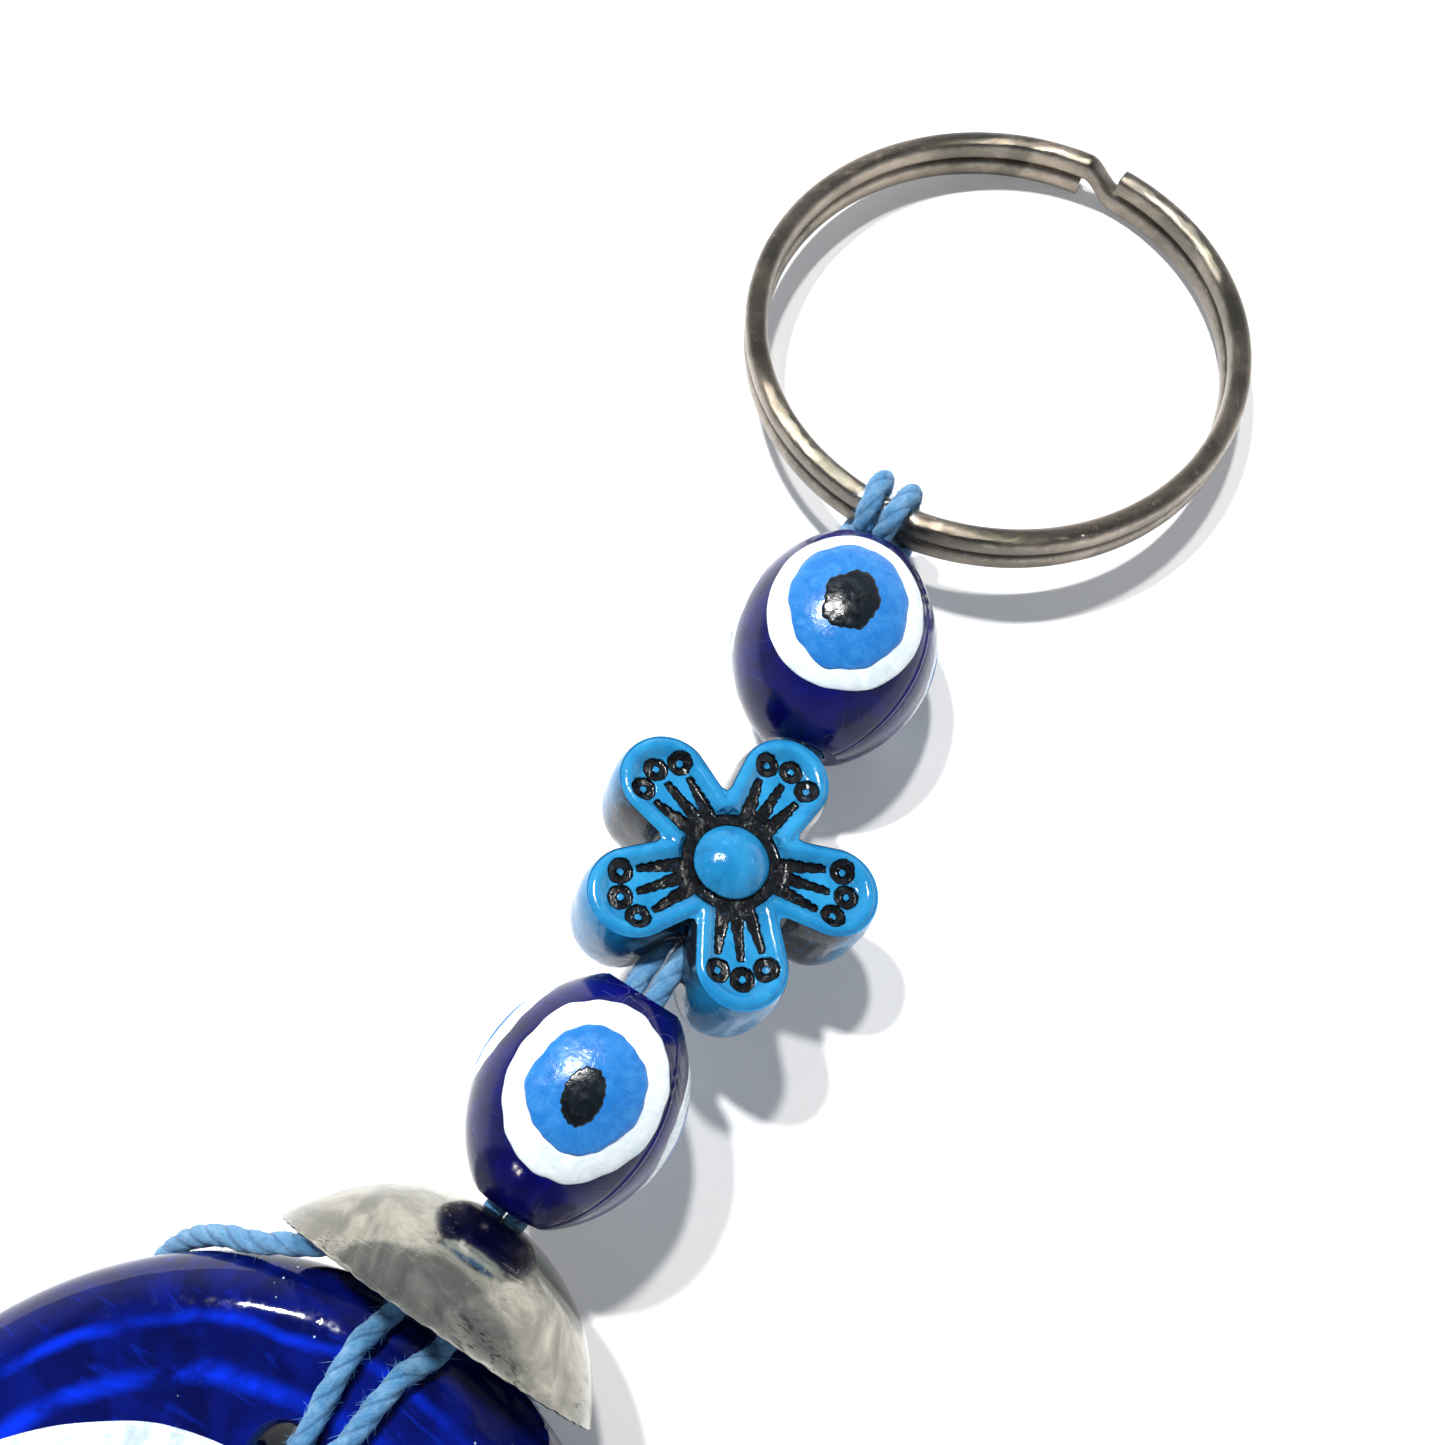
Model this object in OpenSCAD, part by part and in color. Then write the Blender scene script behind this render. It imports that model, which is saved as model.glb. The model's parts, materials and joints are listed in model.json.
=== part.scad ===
// Evil eye ornament: a pressed glass eye on a waxed cord, with a bead cap, two painted beads,
// a flower bead and a split ring. Millimetres. X is across, Y runs from the glass eye to the ring,
// Z is up. The origin is the middle of the foot that the glass eye rests on.

/* [Glass eye] */
// Diameter of the glass disc
disc_d = 50; // [46:0.5:60]
// Thickness of the glass disc at its middle
disc_t = 10; // [9:0.5:12]
// Fall of the disc's face from its middle to its rounded edge
disc_crown = 0.3; // [0.1:0.1:0.6]
// Slope of the domed back, from the foot to the rounded edge, in degrees
back_slope = 8; // [7:0.5:9]
// Distance from the disc's edge to the middle of the cord hole
hole_inset = 9.9; // [9.5:0.1:11]
// Angle of the cord hole from the +Y axis, in degrees
hole_turn = 11; // [5:1:15]
// Radius of the white layer
white_r = 16.7; // [14:0.1:18]
// Radius of the light blue layer
blue_r = 9.6; // [8:0.1:12]
// Radius of the pupil
pupil_r = 4.6; // [3:0.1:6]
// Middle of the white layer across the disc
white_x = -3.4; // [-4:0.1:4]
// Middle of the white layer along the disc
white_y = -2.7; // [-4:0.1:0]

/* [Cord] */
// Diameter of the waxed cord
cord_d = 1.4; // [1.1:0.1:1.7]

/* [Bead cap] */
// Diameter of the cap's open rim
cap_d = 20.8; // [19:0.2:25]
// Depth of the cap, from its rim to its apex
cap_depth = 6.7; // [6.2:0.1:8]
// Thickness of the cap's sheet metal
cap_wall = 0.6; // [0.4:0.1:0.8]
// Distance from the glass disc's edge to the plane of the cap's rim
cap_gap = 0.15; // [0.1:0.05:1]
// Diameter of the knot inside the cap
knot_d = 4.8; // [4:0.1:5]

/* [Painted beads] */
// Largest diameter of each barrel bead: lower, upper
bead_d = [12, 13.1]; // [10:0.1:14]
// Length of each barrel bead: lower, upper
bead_len = [14.1, 14.9]; // [13:0.1:17]
// Radius of a barrel bead's flat end
bead_end_r = 2.45; // [2.2:0.05:3]
// Radius of a painted eye's white dot
dot_white_r = 4.7; // [3.5:0.1:5]
// Radius of a painted eye's blue dot
dot_blue_r = 3.5; // [2.5:0.1:4]
// Radius of a painted eye's pupil
dot_pupil_r = 1.6; // [1:0.1:2.2]
// Thickness of one layer of paint
paint = 0.12; // [0.1:0.01:0.2]
// Number of painted eyes around a bead
dots = 3; // [3]

/* [Flower bead] */
// Distance from the flower's middle to a petal's tip
petal_reach = 9.5; // [8:0.1:11]
// Radius of a petal's round end
petal_r = 3.1; // [2.8:0.05:3.4]
// Half width of a petal at the flower's middle
petal_root = 2.4; // [2.2:0.05:2.6]
// Thickness of the flower between its rims
flower_t = 6.2; // [5.4:0.1:7]
// Width of the raised rim around each petal
rim_w = 0.6; // [0.5:0.05:0.8]
// Depth of the petals' pockets
pocket = 0.45; // [0.3:0.05:0.6]
// Radius of the dome in the flower's middle
dome_r = 2.4; // [1.8:0.1:2.6]

/* [Split ring] */
// Outer diameter of the split ring
ring_d = 36; // [30:0.5:42]
// Width of the ring's wire, across the ring
wire_w = 1.6; // [1.4:0.1:2]
// Height of one coil of the ring's wire
wire_h = 1.7; // [1.4:0.1:1.9]

/* [Pose of the chain] */
// Heading of each link from +Y, in degrees: cap, lower bead, flower, upper bead, ring
heading = [-0.6, -0.5, 1.1, 14.5, 1.9]; // [-20:0.1:20]
// Pitch of each link above level, in degrees, in the same order
pitch = [-4.7, 5.2, -14.4, 0.5, -6.4]; // [-20:0.1:20]
// Gap that the cord bends in, after the cap, lower bead, flower and upper bead
gaps = [0.6, 1.2, 0.9, 0.9]; // [0.5:0.1:2]
// Roll of the flower about its cord, in degrees
flower_roll = 9.4; // [-20:0.1:20]

/* [Hidden] */
// Clearances: a running fit, a glued seam, and a cord beside what it lies on
run_fit = 0.08;
seam = 0.01;
cord_air = 0.1;
$fn = 64;

// Cord and bores: two strands lie side by side in each bore
cord_r = cord_d / 2;
strand_x = cord_r + 0.02;
bore_r = strand_x + cord_r + run_fit;
hole_r = cord_d + 0.35;
lip = 0.8;
cord_sides = 8;

// Glass disc: a foot, a domed back that clears the cord, a round edge and a slightly crowned face
disc_r = disc_d / 2;
hole_r_out = disc_r - hole_inset;
foot_r = hole_r_out - (cord_d + 0.15) / tan(back_slope);
edge_r = (disc_t - disc_crown - (disc_r - foot_r) * tan(back_slope))
    / (1 + 1 / cos(back_slope) - tan(back_slope));
edge_x = disc_r - edge_r;
edge_z = disc_t - disc_crown - edge_r;
hole_at = [-hole_r_out * sin(hole_turn), hole_r_out * cos(hole_turn)];

// Layers of the eye, each let into the one below it
white_z = disc_t - 1.8;
blue_z = disc_t - 0.9;
pupil_z = disc_t - 0.4;
layer_step = 0.12;
white_at = [white_x, white_y];
blue_at = white_at + [0.3, -0.2];
pupil_at = blue_at + [-0.2, 0.3];

// Cap: a shallow dome that is part of a sphere
cap_r = cap_d / 2;
dome_sphere = (cap_r * cap_r + cap_depth * cap_depth) / (2 * cap_depth);
knot_in = cap_depth - cap_wall - knot_d / 2 - 0.3;

// Barrel bead: an arc from flat end to flat end
bead_r = bead_d / 2;
half_len = bead_len / 2;
barrel_arc = [for (i = [0, 1]) let (rise = bead_r[i] - bead_end_r)
    (half_len[i] * half_len[i] + rise * rise) / (2 * rise)];
barrel_steps = 14;
eye_roll = [10, 5];
eye_shift = [1, 0.65];

// Flower: the petals are cut by grooves and ring dots, filled with black wash
petals = 5;
petal_turn = 360 / petals;
petal_y = petal_reach - petal_r;
notch_reach = 0.82 * petal_reach;
// The petals' walls bulge: how far in they lie, up to which part of half the thickness
bulge = [[0, 0.4], [0.08, 0.65], [0.2, 0.86], [0.35, 1]];
face_inset = bulge[3][0];
groove = 0.3;
wash_low = 0.05;
groove_in = dome_r + 0.5;
groove_out = 5.6;
groove_fan = 13;
groove_wide = 0.38;
groove_thin = 0.2;
moat = 0.6;
dot_out = 0.66;
dot_in = 0.26;
dot_mid = [0, petal_y + 0.85];
dot_side = [1.45, petal_y + 0.3];

// Split ring: two coils, one over the other, with a short crossover between the wire's ends
coil_gap = 0.05;
ring_mid = ring_d / 2 - wire_w / 2;
level = (wire_h + coil_gap) / 2;
ring_start = 83.5;
cross_from = 9.5;
cross_to = 0.5;
wire_turn = 710;
wire_step = 5;
wire_sides = 10;
wire_round = 2.8;
hitch_drop = 0.75;
hitch_reach = 2.2;

// Places along the chain, each from the one before it
function along(p, i, d) = p + d * [-sin(heading[i]) * cos(pitch[i]),
    cos(heading[i]) * cos(pitch[i]), sin(pitch[i])];
cap_at = [0.35, disc_r + cap_gap, cap_r * cos(pitch[0])];
knot_at = along(cap_at, 0, knot_in);
bend_a = along(cap_at, 0, cap_depth + gaps[0] / 2);
lower_at = along(bend_a, 1, gaps[0] / 2 + half_len[0]);
bend_b = along(lower_at, 1, half_len[0] + gaps[1] / 2);
flower_at = along(bend_b, 2, gaps[1] / 2 + notch_reach);
bend_c = along(flower_at, 2, petal_reach + gaps[2] / 2);
upper_at = along(bend_c, 3, gaps[2] / 2 + half_len[1]);
bend_d = along(upper_at, 3, half_len[1] + gaps[3] / 2);
wire_at = along(bend_d, 4, gaps[3] / 2 + hitch_reach);
ring_at = along(wire_at, 4, ring_mid);

// The loops of cord on the glass. over() and beside() keep a strand on the disc's face or edge,
// and rim_point() places a point by its distance from the edge and its angle from +Y.
function over(x, y) = let (r = norm([x, y]))
    [x, y, r < edge_x ? disc_t - disc_crown * r / edge_x + cord_r + cord_air
    : edge_z + sqrt(pow(edge_r + cord_r + cord_air, 2) - pow(r - edge_x, 2))];
function by_hole(dx, dy, z) = [hole_at[0] + dx, hole_at[1] + dy, z];
function on_face(dx, dy) = over(hole_at[0] + dx, hole_at[1] + dy);
function rim_point(out, turn, z) = [-(disc_r + out) * sin(turn), (disc_r + out) * cos(turn), z];
function beside(turn, z) = let (reach = edge_r + cord_r + 1.5 * cord_air)
    rim_point(edge_x - disc_r + sqrt(reach * reach - pow(z - edge_z, 2)), turn, z);
low = cord_r + 0.04;
left_loop = [
    knot_at + [-0.6, -0.6, 0.6],
    knot_at + [-2.0, -2.0, 0.8],
    on_face(0.8, 9.2),
    on_face(0.5, 8.1),
    on_face(0.3, 6.8),
    on_face(0.4, 4.0),
    on_face(0.65, 2.1),
    by_hole(0.5, 1.25, disc_t - 0.1),
    by_hole(0.35, cord_r + 0.1, disc_t - 1.4),
    by_hole(0.3, cord_r + 0.03, disc_t / 2),
    by_hole(0.2, cord_r + 0.03, 2.3),
    by_hole(-0.4, 0.7, 1.1),
    by_hole(-1.5, 0.4, low),
    rim_point(-8.6, 21, low),
    rim_point(-7.0, 34, low),
    rim_point(-4.0, 42, low),
    rim_point(-1.3, 44.5, 1.0),
    rim_point(0, 43.4, 1.9),
    rim_point(0.4, 41, 3.0),
    rim_point(0.75, 38, 4.4),
    beside(34.5, 5.8),
    beside(31, 6.9),
    beside(26.5, 7.8),
    rim_point(0.7, 22.3, 8.5),
    rim_point(0.95, 18.3, 8.9),
    rim_point(1.8, 13.5, 9.2),
    knot_at + [-2.4, -0.9, -0.2],
    knot_at + [-0.8, -0.2, 0]
];
right_loop = [
    knot_at + [0.6, -0.6, 0.5],
    knot_at + [1.3, -2.0, 0.8],
    on_face(4.3, 9.3),
    on_face(4.0, 8.3),
    on_face(3.4, 7.2),
    on_face(3.0, 4.8),
    on_face(2.8, 2.8),
    on_face(2.2, 1.1),
    by_hole(1.45, -0.3, disc_t + 0.45),
    by_hole(0.7, -cord_r - 0.05, disc_t - 0.5),
    by_hole(0.45, -cord_r - 0.03, disc_t - 2),
    by_hole(0.4, -cord_r - 0.03, disc_t / 2),
    by_hole(0.45, -cord_r - 0.03, 2.3),
    by_hole(0.9, -0.55, 1.2),
    by_hole(2.0, 0.1, low),
    rim_point(-9.3, -4, low),
    rim_point(-7.8, -15, low),
    rim_point(-5.6, -24.5, low),
    rim_point(-3.4, -28.4, 0.95),
    rim_point(-2.0, -25.6, 1.4),
    rim_point(-1.65, -20.8, 1.8),
    rim_point(-1.2, -16.6, 2.05),
    rim_point(-1.0, -12.2, 2.5),
    rim_point(-0.35, -10.3, 3.15),
    knot_at + [3.6, -2.4, -5.0],
    knot_at + [2.0, -0.8, -2.2],
    knot_at + [0.6, -0.1, -0.6]
];

// Half of the hitch on the ring, from a strand's end to the middle of the bar that joins them.
// The wire's middle is the local origin, +Y points to the ring's middle.
wrap_y = wire_w / 2 + cord_r + cord_air;
wrap_z = wire_h + coil_gap / 2 + cord_r + cord_air;
hitch_half = [
    [-strand_x, -hitch_reach, hitch_drop],
    [-0.75, -hitch_reach + 0.45, 1.5],
    [-0.8, -0.85, wrap_z],
    [-0.85, 0.45, wrap_z],
    [-0.95, wrap_y + 0.05, wire_h],
    [-1.1, wrap_y + 0.1, 0],
    [-1.4, wrap_y, -wire_h],
    [-1.75, 0.4, -wrap_z],
    [-1.9, -0.9, -wrap_z + 0.05],
    [-1.7, -wrap_y, -wire_h + 0.1],
    [-1.0, -wrap_y - 0.1, -0.95],
    [0, -wrap_y - 0.15, -0.9]
];
hitch_route = concat(hitch_half, [for (i = [len(hitch_half) - 2 : -1 : 0])
    [-hitch_half[i][0], hitch_half[i][1], hitch_half[i][2]]]);

// A smooth line through the points p, with k steps from each point to the next
function blend4(a, b, c, d, t) = 0.5 * (2 * b + (c - a) * t + (2 * a - 5 * b + 4 * c - d) * t * t
    + (3 * b - a - 3 * c + d) * t * t * t);
function smooth_line(p, k) = concat([for (i = [0 : len(p) - 2], j = [0 : k - 1])
    blend4(p[max(i - 1, 0)], p[i], p[i + 1], p[min(i + 2, len(p) - 1)], j / k)], [p[len(p) - 1]]);

// Directions along a line, and normals carried along it without twist
function unit(v) = v / norm(v);
function direction(p, i) = unit(p[min(i + 1, len(p) - 1)] - p[max(i - 1, 0)]);
function square_to(n, t) = unit(n - (n * t) * t);
function normals(p, i, n) = i == len(p) ? []
    : let (m = square_to(n, direction(p, i))) concat([m], normals(p, i + 1, m));

// A closed skin over rings of points, each ring with the same number of points
module skin_over(rings, sides) {
    last = len(rings) - 1;
    polyhedron(
        points = [for (ring = rings) each ring],
        faces = concat(
            [[for (k = [0 : sides - 1]) k]],
            [for (i = [0 : last - 1], k = [0 : sides - 1]) [i * sides + k, (i + 1) * sides + k,
                (i + 1) * sides + (k + 1) % sides, i * sides + (k + 1) % sides]],
            [[for (k = [sides - 1 : -1 : 0]) last * sides + k]]
        )
    );
}

// A round tube of cord along a line of points
module cord_tube(line, start) {
    ups = normals(line, 0, start);
    skin_over([for (i = [0 : len(line) - 1]) let (n = ups[i], b = cross(direction(line, i), n))
        [for (k = [0 : cord_sides - 1]) let (a = 360 * k / cord_sides)
            line[i] + cord_r * (cos(a) * n + sin(a) * b)]], cord_sides);
}

// Places children at p, with local +Y along link i of the chain and local +Z up
module on_link(p, i, roll = 0) {
    translate(p) rotate([0, 0, heading[i]]) rotate([pitch[i], 0, 0]) rotate([0, roll, 0]) children();
}

// Turns a profile, drawn as radius and distance, about local Y
module about_cord() {
    rotate([-90, 0, 0]) rotate_extrude() children();
}

// The two strands end in one shared cone at each bend, so that the links can bend
module strand(side, from, to) {
    cone = tan(12) * bore_r;
    tip = 0.05;
    intersection() {
        translate([side * strand_x, from, 0]) rotate([-90, 0, 0]) cylinder(r = cord_r, h = to - from);
        about_cord() polygon([[0, from + tip], [bore_r, from + tip + cone],
            [bore_r, to - tip - cone], [0, to - tip]]);
    }
}

module disc_profile() {
    touch = [edge_x + edge_r * sin(back_slope), edge_z - edge_r * cos(back_slope)];
    intersection() {
        union() {
            translate([edge_x, edge_z]) circle(edge_r);
            polygon([[0, 0], [foot_r, 0], touch, [edge_x, edge_z],
                [edge_x, edge_z + edge_r], [0, disc_t]]);
        }
        square([disc_r + 1, disc_t + 1]);
    }
}

// Everything of the disc's face up to a height above it
module under_face(extra) {
    rotate_extrude() polygon([[0, 0], [edge_x, 0],
        [edge_x, disc_t - disc_crown + extra], [0, disc_t + extra]]);
}

module cord_hole() {
    translate([hole_at[0], hole_at[1], 0]) {
        translate([0, 0, -1]) cylinder(r = hole_r, h = disc_t + 2);
        translate([0, 0, disc_t - lip - 0.2]) cylinder(r1 = hole_r, r2 = hole_r + lip + 0.2, h = lip + 0.2);
        translate([0, 0, 1.2]) cylinder(r1 = hole_r + lip, r2 = hole_r, h = lip);
        translate([0, 0, -1]) cylinder(r = hole_r + lip, h = 2.2);
    }
}

module round_at(p, z, r) {
    translate([p[0], p[1], z]) cylinder(r = r, h = disc_t);
}

module glass_disc() {
    color("midnightblue") difference() {
        rotate_extrude() disc_profile();
        cord_hole();
        round_at(white_at, white_z - seam, white_r + seam);
    }
}

module eye_white() {
    color("aliceblue") difference() {
        intersection() {
            round_at(white_at, white_z, white_r);
            under_face(layer_step);
        }
        round_at(blue_at, blue_z - seam, blue_r + seam);
        cord_hole();
    }
}

module eye_blue() {
    color("deepskyblue") difference() {
        intersection() {
            round_at(blue_at, blue_z, blue_r);
            under_face(2 * layer_step);
        }
        round_at(pupil_at, pupil_z - seam, pupil_r + seam);
    }
}

module eye_pupil() {
    color("black") intersection() {
        round_at(pupil_at, pupil_z, pupil_r);
        under_face(3 * layer_step);
    }
}

module eye_loop_left() {
    color("skyblue") cord_tube(smooth_line(left_loop, 3), [0, 0, 1]);
}

module eye_loop_right() {
    color("skyblue") cord_tube(smooth_line(right_loop, 3), [0, 0, 1]);
}

module cap_knot() {
    color("skyblue") translate(knot_at) sphere(d = knot_d);
}

module cap_strand(side) {
    color("skyblue") on_link(knot_at, 0) strand(side, knot_d / 2, cap_depth - knot_in + gaps[0] / 2);
}

module bead_cap() {
    color("silver") on_link(cap_at, 0) about_cord() intersection() {
        translate([0, cap_depth - dome_sphere]) difference() {
            circle(dome_sphere);
            circle(dome_sphere - cap_wall);
        }
        translate([bore_r, 0]) square([cap_r, cap_depth]);
    }
}

// Radius of a barrel bead at a distance from its middle
function barrel_at(bead, y) = bead_r[bead] - barrel_arc[bead] + sqrt(pow(barrel_arc[bead], 2) - y * y);

// A barrel bead's body, bored for the cord
module barrel(bead) {
    about_cord() polygon(concat([[bore_r, -half_len[bead]]],
        [for (k = [-barrel_steps : barrel_steps]) let (y = half_len[bead] * k / barrel_steps)
            [barrel_at(bead, y), y]],
        [[bore_r, half_len[bead]]]));
}

// A skin of paint on a barrel bead, between two heights above its surface
module paint_skin(bead, low_offset, high_offset) {
    about_cord() intersection() {
        translate([bead_r[bead] - barrel_arc[bead], 0]) difference() {
            circle(barrel_arc[bead] + high_offset, $fn = 128);
            circle(barrel_arc[bead] + low_offset, $fn = 128);
        }
        translate([bore_r, -half_len[bead]]) square([bead_r[bead] + 1, bead_len[bead]]);
    }
}

// One painted dot: layer 0 is the white, 1 the blue and 2 the pupil
module painted_dot(bead, k, layer) {
    inner = layer * (paint + seam) + seam;
    size = [dot_white_r, dot_blue_r, dot_pupil_r][layer];
    rotate([0, eye_roll[bead] + k * 360 / dots, 0]) intersection() {
        rotate([0, 180, 0]) paint_skin(bead, inner, inner + paint);
        translate([0, eye_shift[bead], 0]) cylinder(r = size, h = bead_d[bead]);
    }
}

module lower_paint(k, layer) {
    color(["white", "royalblue", "black"][layer]) on_link(lower_at, 1) painted_dot(0, k, layer);
}

module upper_paint(k, layer) {
    color(["white", "royalblue", "black"][layer]) on_link(upper_at, 3) painted_dot(1, k, layer);
}

module lower_bead() {
    color("navy") on_link(lower_at, 1) barrel(0);
}

module upper_bead() {
    color("navy") on_link(upper_at, 3) barrel(1);
}

// A link's own strands run the length of its bead and half of the gap at each end
module lower_strand(side) {
    color("skyblue") on_link(lower_at, 1)
        strand(side, -half_len[0] - gaps[0] / 2, half_len[0] + gaps[1] / 2);
}

module middle_strand(side) {
    color("skyblue") on_link(flower_at, 2)
        strand(side, -notch_reach - gaps[1] / 2, petal_reach + gaps[2] / 2);
}

module upper_strand(side) {
    color("skyblue") on_link(upper_at, 3)
        strand(side, -half_len[1] - gaps[2] / 2, half_len[1] + gaps[3] / 2);
}

// The flower's outline, or one that is smaller all round
module petal_outline(inset) {
    for (k = [0 : petals - 1]) rotate(k * petal_turn) {
        translate([0, petal_y]) circle(petal_r - inset);
        polygon([[-petal_root + inset, 0], [petal_root - inset, 0],
            [petal_r - inset, petal_y], [-petal_r + inset, petal_y]]);
    }
}

// The grooves and ring dots of every petal
module wash_pattern() {
    for (k = [0 : petals - 1]) rotate(k * petal_turn) {
        for (fan = [-groove_fan, 0, groove_fan]) rotate(fan)
            polygon([[-groove_wide, groove_in], [groove_wide, groove_in],
                [groove_thin, groove_out], [-groove_thin, groove_out]]);
        for (at = [[-dot_side[0], dot_side[1]], dot_mid, dot_side]) translate(at) difference() {
            circle(dot_out, $fn = 24);
            circle(dot_in, $fn = 24);
        }
    }
    difference() {
        circle(dome_r + moat);
        circle(dome_r + cord_air / 2);
    }
}

// One face of the flower, from its middle plane up
module flower_half() {
    floor_z = flower_t / 2 - pocket;
    difference() {
        for (step = bulge) linear_extrude(step[1] * flower_t / 2) petal_outline(step[0]);
        translate([0, 0, floor_z]) linear_extrude(flower_t) {
            petal_outline(face_inset + rim_w);
            circle(dome_r + 0.9);
        }
        translate([0, 0, floor_z - groove]) linear_extrude(flower_t) wash_pattern();
    }
    translate([0, 0, floor_z]) intersection() {
        translate([0, 0, pocket - dome_r]) sphere(dome_r + 0.2);
        translate([0, 0, -0.1]) cylinder(r = dome_r, h = flower_t);
    }
}

module flower_bead() {
    color("steelblue") on_link(flower_at, 2, flower_roll) difference() {
        union() {
            flower_half();
            mirror([0, 0, 1]) flower_half();
        }
        about_cord() translate([0, -petal_reach - 1]) square([bore_r, 2 * petal_reach + 2]);
    }
}

module flower_wash() {
    floor_z = flower_t / 2 - pocket;
    color("black") on_link(flower_at, 2, flower_roll) for (face = [0, 1]) mirror([0, 0, face])
        translate([0, 0, floor_z - groove]) linear_extrude(groove - wash_low) wash_pattern();
}

module ring_hitch() {
    color("skyblue") on_link(wire_at, 4) translate([0, 0, -hitch_drop])
        cord_tube(smooth_line(hitch_route, 3), [1, 0, 0]);
}

// Height of the wire after it has turned by t degrees from its upper end
function wire_z(t) = let (u = (t - (360 - cross_from)) / (cross_from - cross_to), c = min(max(u, 0), 1))
    level * (1 - 2 * c * c * (3 - 2 * c));
wire_turns = concat([for (t = [0 : wire_step : 350]) t],
    [for (t = [350 + 1.5 : 1.5 : 360]) t], [for (t = [360 + wire_step : wire_step : wire_turn]) t]);

// One section of the wire: a rounded square that stands at a turn of t degrees
function wire_section(t) = let (turn = ring_start - t, z = wire_z(t))
    [for (k = [0 : wire_sides - 1]) let (a = 360 * k / wire_sides, c = cos(a), s = sin(a),
        r = ring_mid + wire_w / 2 * sign(c) * pow(abs(c), 2 / wire_round))
        [r * cos(turn), r * sin(turn), z + wire_h / 2 * sign(s) * pow(abs(s), 2 / wire_round)]];

module split_ring() {
    color("dimgray") on_link(ring_at, 4) translate([0, 0, -hitch_drop])
        skin_over([for (t = wire_turns) wire_section(t)], wire_sides);
}

glass_disc();
eye_white();
eye_blue();
eye_pupil();
eye_loop_left();
eye_loop_right();
cap_knot();
cap_strand(-1);  // cap_cord_left
cap_strand(1);  // cap_cord_right
bead_cap();
lower_bead();
lower_strand(-1);  // lower_cord_left
lower_strand(1);  // lower_cord_right
lower_paint(0, 0);  // lower_white_1
lower_paint(1, 0);  // lower_white_2
lower_paint(2, 0);  // lower_white_3
lower_paint(0, 1);  // lower_iris_1
lower_paint(1, 1);  // lower_iris_2
lower_paint(2, 1);  // lower_iris_3
lower_paint(0, 2);  // lower_pupil_1
lower_paint(1, 2);  // lower_pupil_2
lower_paint(2, 2);  // lower_pupil_3
flower_bead();
flower_wash();
middle_strand(-1);  // middle_cord_left
middle_strand(1);  // middle_cord_right
upper_bead();
upper_strand(-1);  // upper_cord_left
upper_strand(1);  // upper_cord_right
upper_paint(0, 0);  // upper_white_1
upper_paint(1, 0);  // upper_white_2
upper_paint(2, 0);  // upper_white_3
upper_paint(0, 1);  // upper_iris_1
upper_paint(1, 1);  // upper_iris_2
upper_paint(2, 1);  // upper_iris_3
upper_paint(0, 2);  // upper_pupil_1
upper_paint(1, 2);  // upper_pupil_2
upper_paint(2, 2);  // upper_pupil_3
ring_hitch();
split_ring();
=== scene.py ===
"""Evil eye ornament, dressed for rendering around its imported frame."""

import json
from math import asin, atan2, ceil, cos, hypot, pi, radians, sin, sqrt, tan

import bmesh
import bpy
import numpy as np
from mathutils import Matrix, Vector

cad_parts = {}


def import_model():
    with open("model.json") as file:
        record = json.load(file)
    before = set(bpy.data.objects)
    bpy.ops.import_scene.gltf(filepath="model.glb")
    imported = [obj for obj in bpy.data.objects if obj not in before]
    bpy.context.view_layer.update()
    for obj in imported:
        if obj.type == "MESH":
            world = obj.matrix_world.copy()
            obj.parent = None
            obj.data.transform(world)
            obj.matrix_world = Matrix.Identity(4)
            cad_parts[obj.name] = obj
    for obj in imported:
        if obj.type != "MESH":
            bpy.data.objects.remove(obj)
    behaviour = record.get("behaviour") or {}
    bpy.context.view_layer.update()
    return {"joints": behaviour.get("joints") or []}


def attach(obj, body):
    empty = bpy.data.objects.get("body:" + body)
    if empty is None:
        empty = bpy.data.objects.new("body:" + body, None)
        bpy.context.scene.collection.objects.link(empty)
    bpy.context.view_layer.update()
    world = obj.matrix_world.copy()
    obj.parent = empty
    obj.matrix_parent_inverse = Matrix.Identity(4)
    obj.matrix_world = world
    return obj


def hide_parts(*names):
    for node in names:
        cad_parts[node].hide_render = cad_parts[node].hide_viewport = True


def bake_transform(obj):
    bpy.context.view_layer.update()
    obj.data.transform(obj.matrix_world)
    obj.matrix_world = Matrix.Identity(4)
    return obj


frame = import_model()
MM = 0.001


# ---------------------------------------------------------------- places from the frame
def joint(name):
    return next(j for j in frame["joints"] if j["name"] == name)


def placed(x, y, z, at):
    m = Matrix((x, y, z)).transposed().to_4x4()
    m.translation = Vector(at)
    return m


def link(name):
    """Place of a piece on the cord, from its spin joint: +Y along the cord, +Z up."""
    j = joint(name)
    y = Vector(j["axis"]).normalized()
    x = y.cross(Vector((0, 0, 1))).normalized()
    return placed(x, y, x.cross(y), j["pos_m"])


CAP = link("cap_spin")
LOWER = link("lower_bead_spin")
FLOWER = link("flower_spin")
UPPER = link("upper_bead_spin")
ring_up = Vector(joint("ring_turn")["axis"]).normalized()
ring_side = Vector(joint("ring_bend")["axis"]).normalized()
RING = placed(ring_side, ring_up.cross(ring_side), ring_up, joint("ring_turn")["pos_m"])

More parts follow.
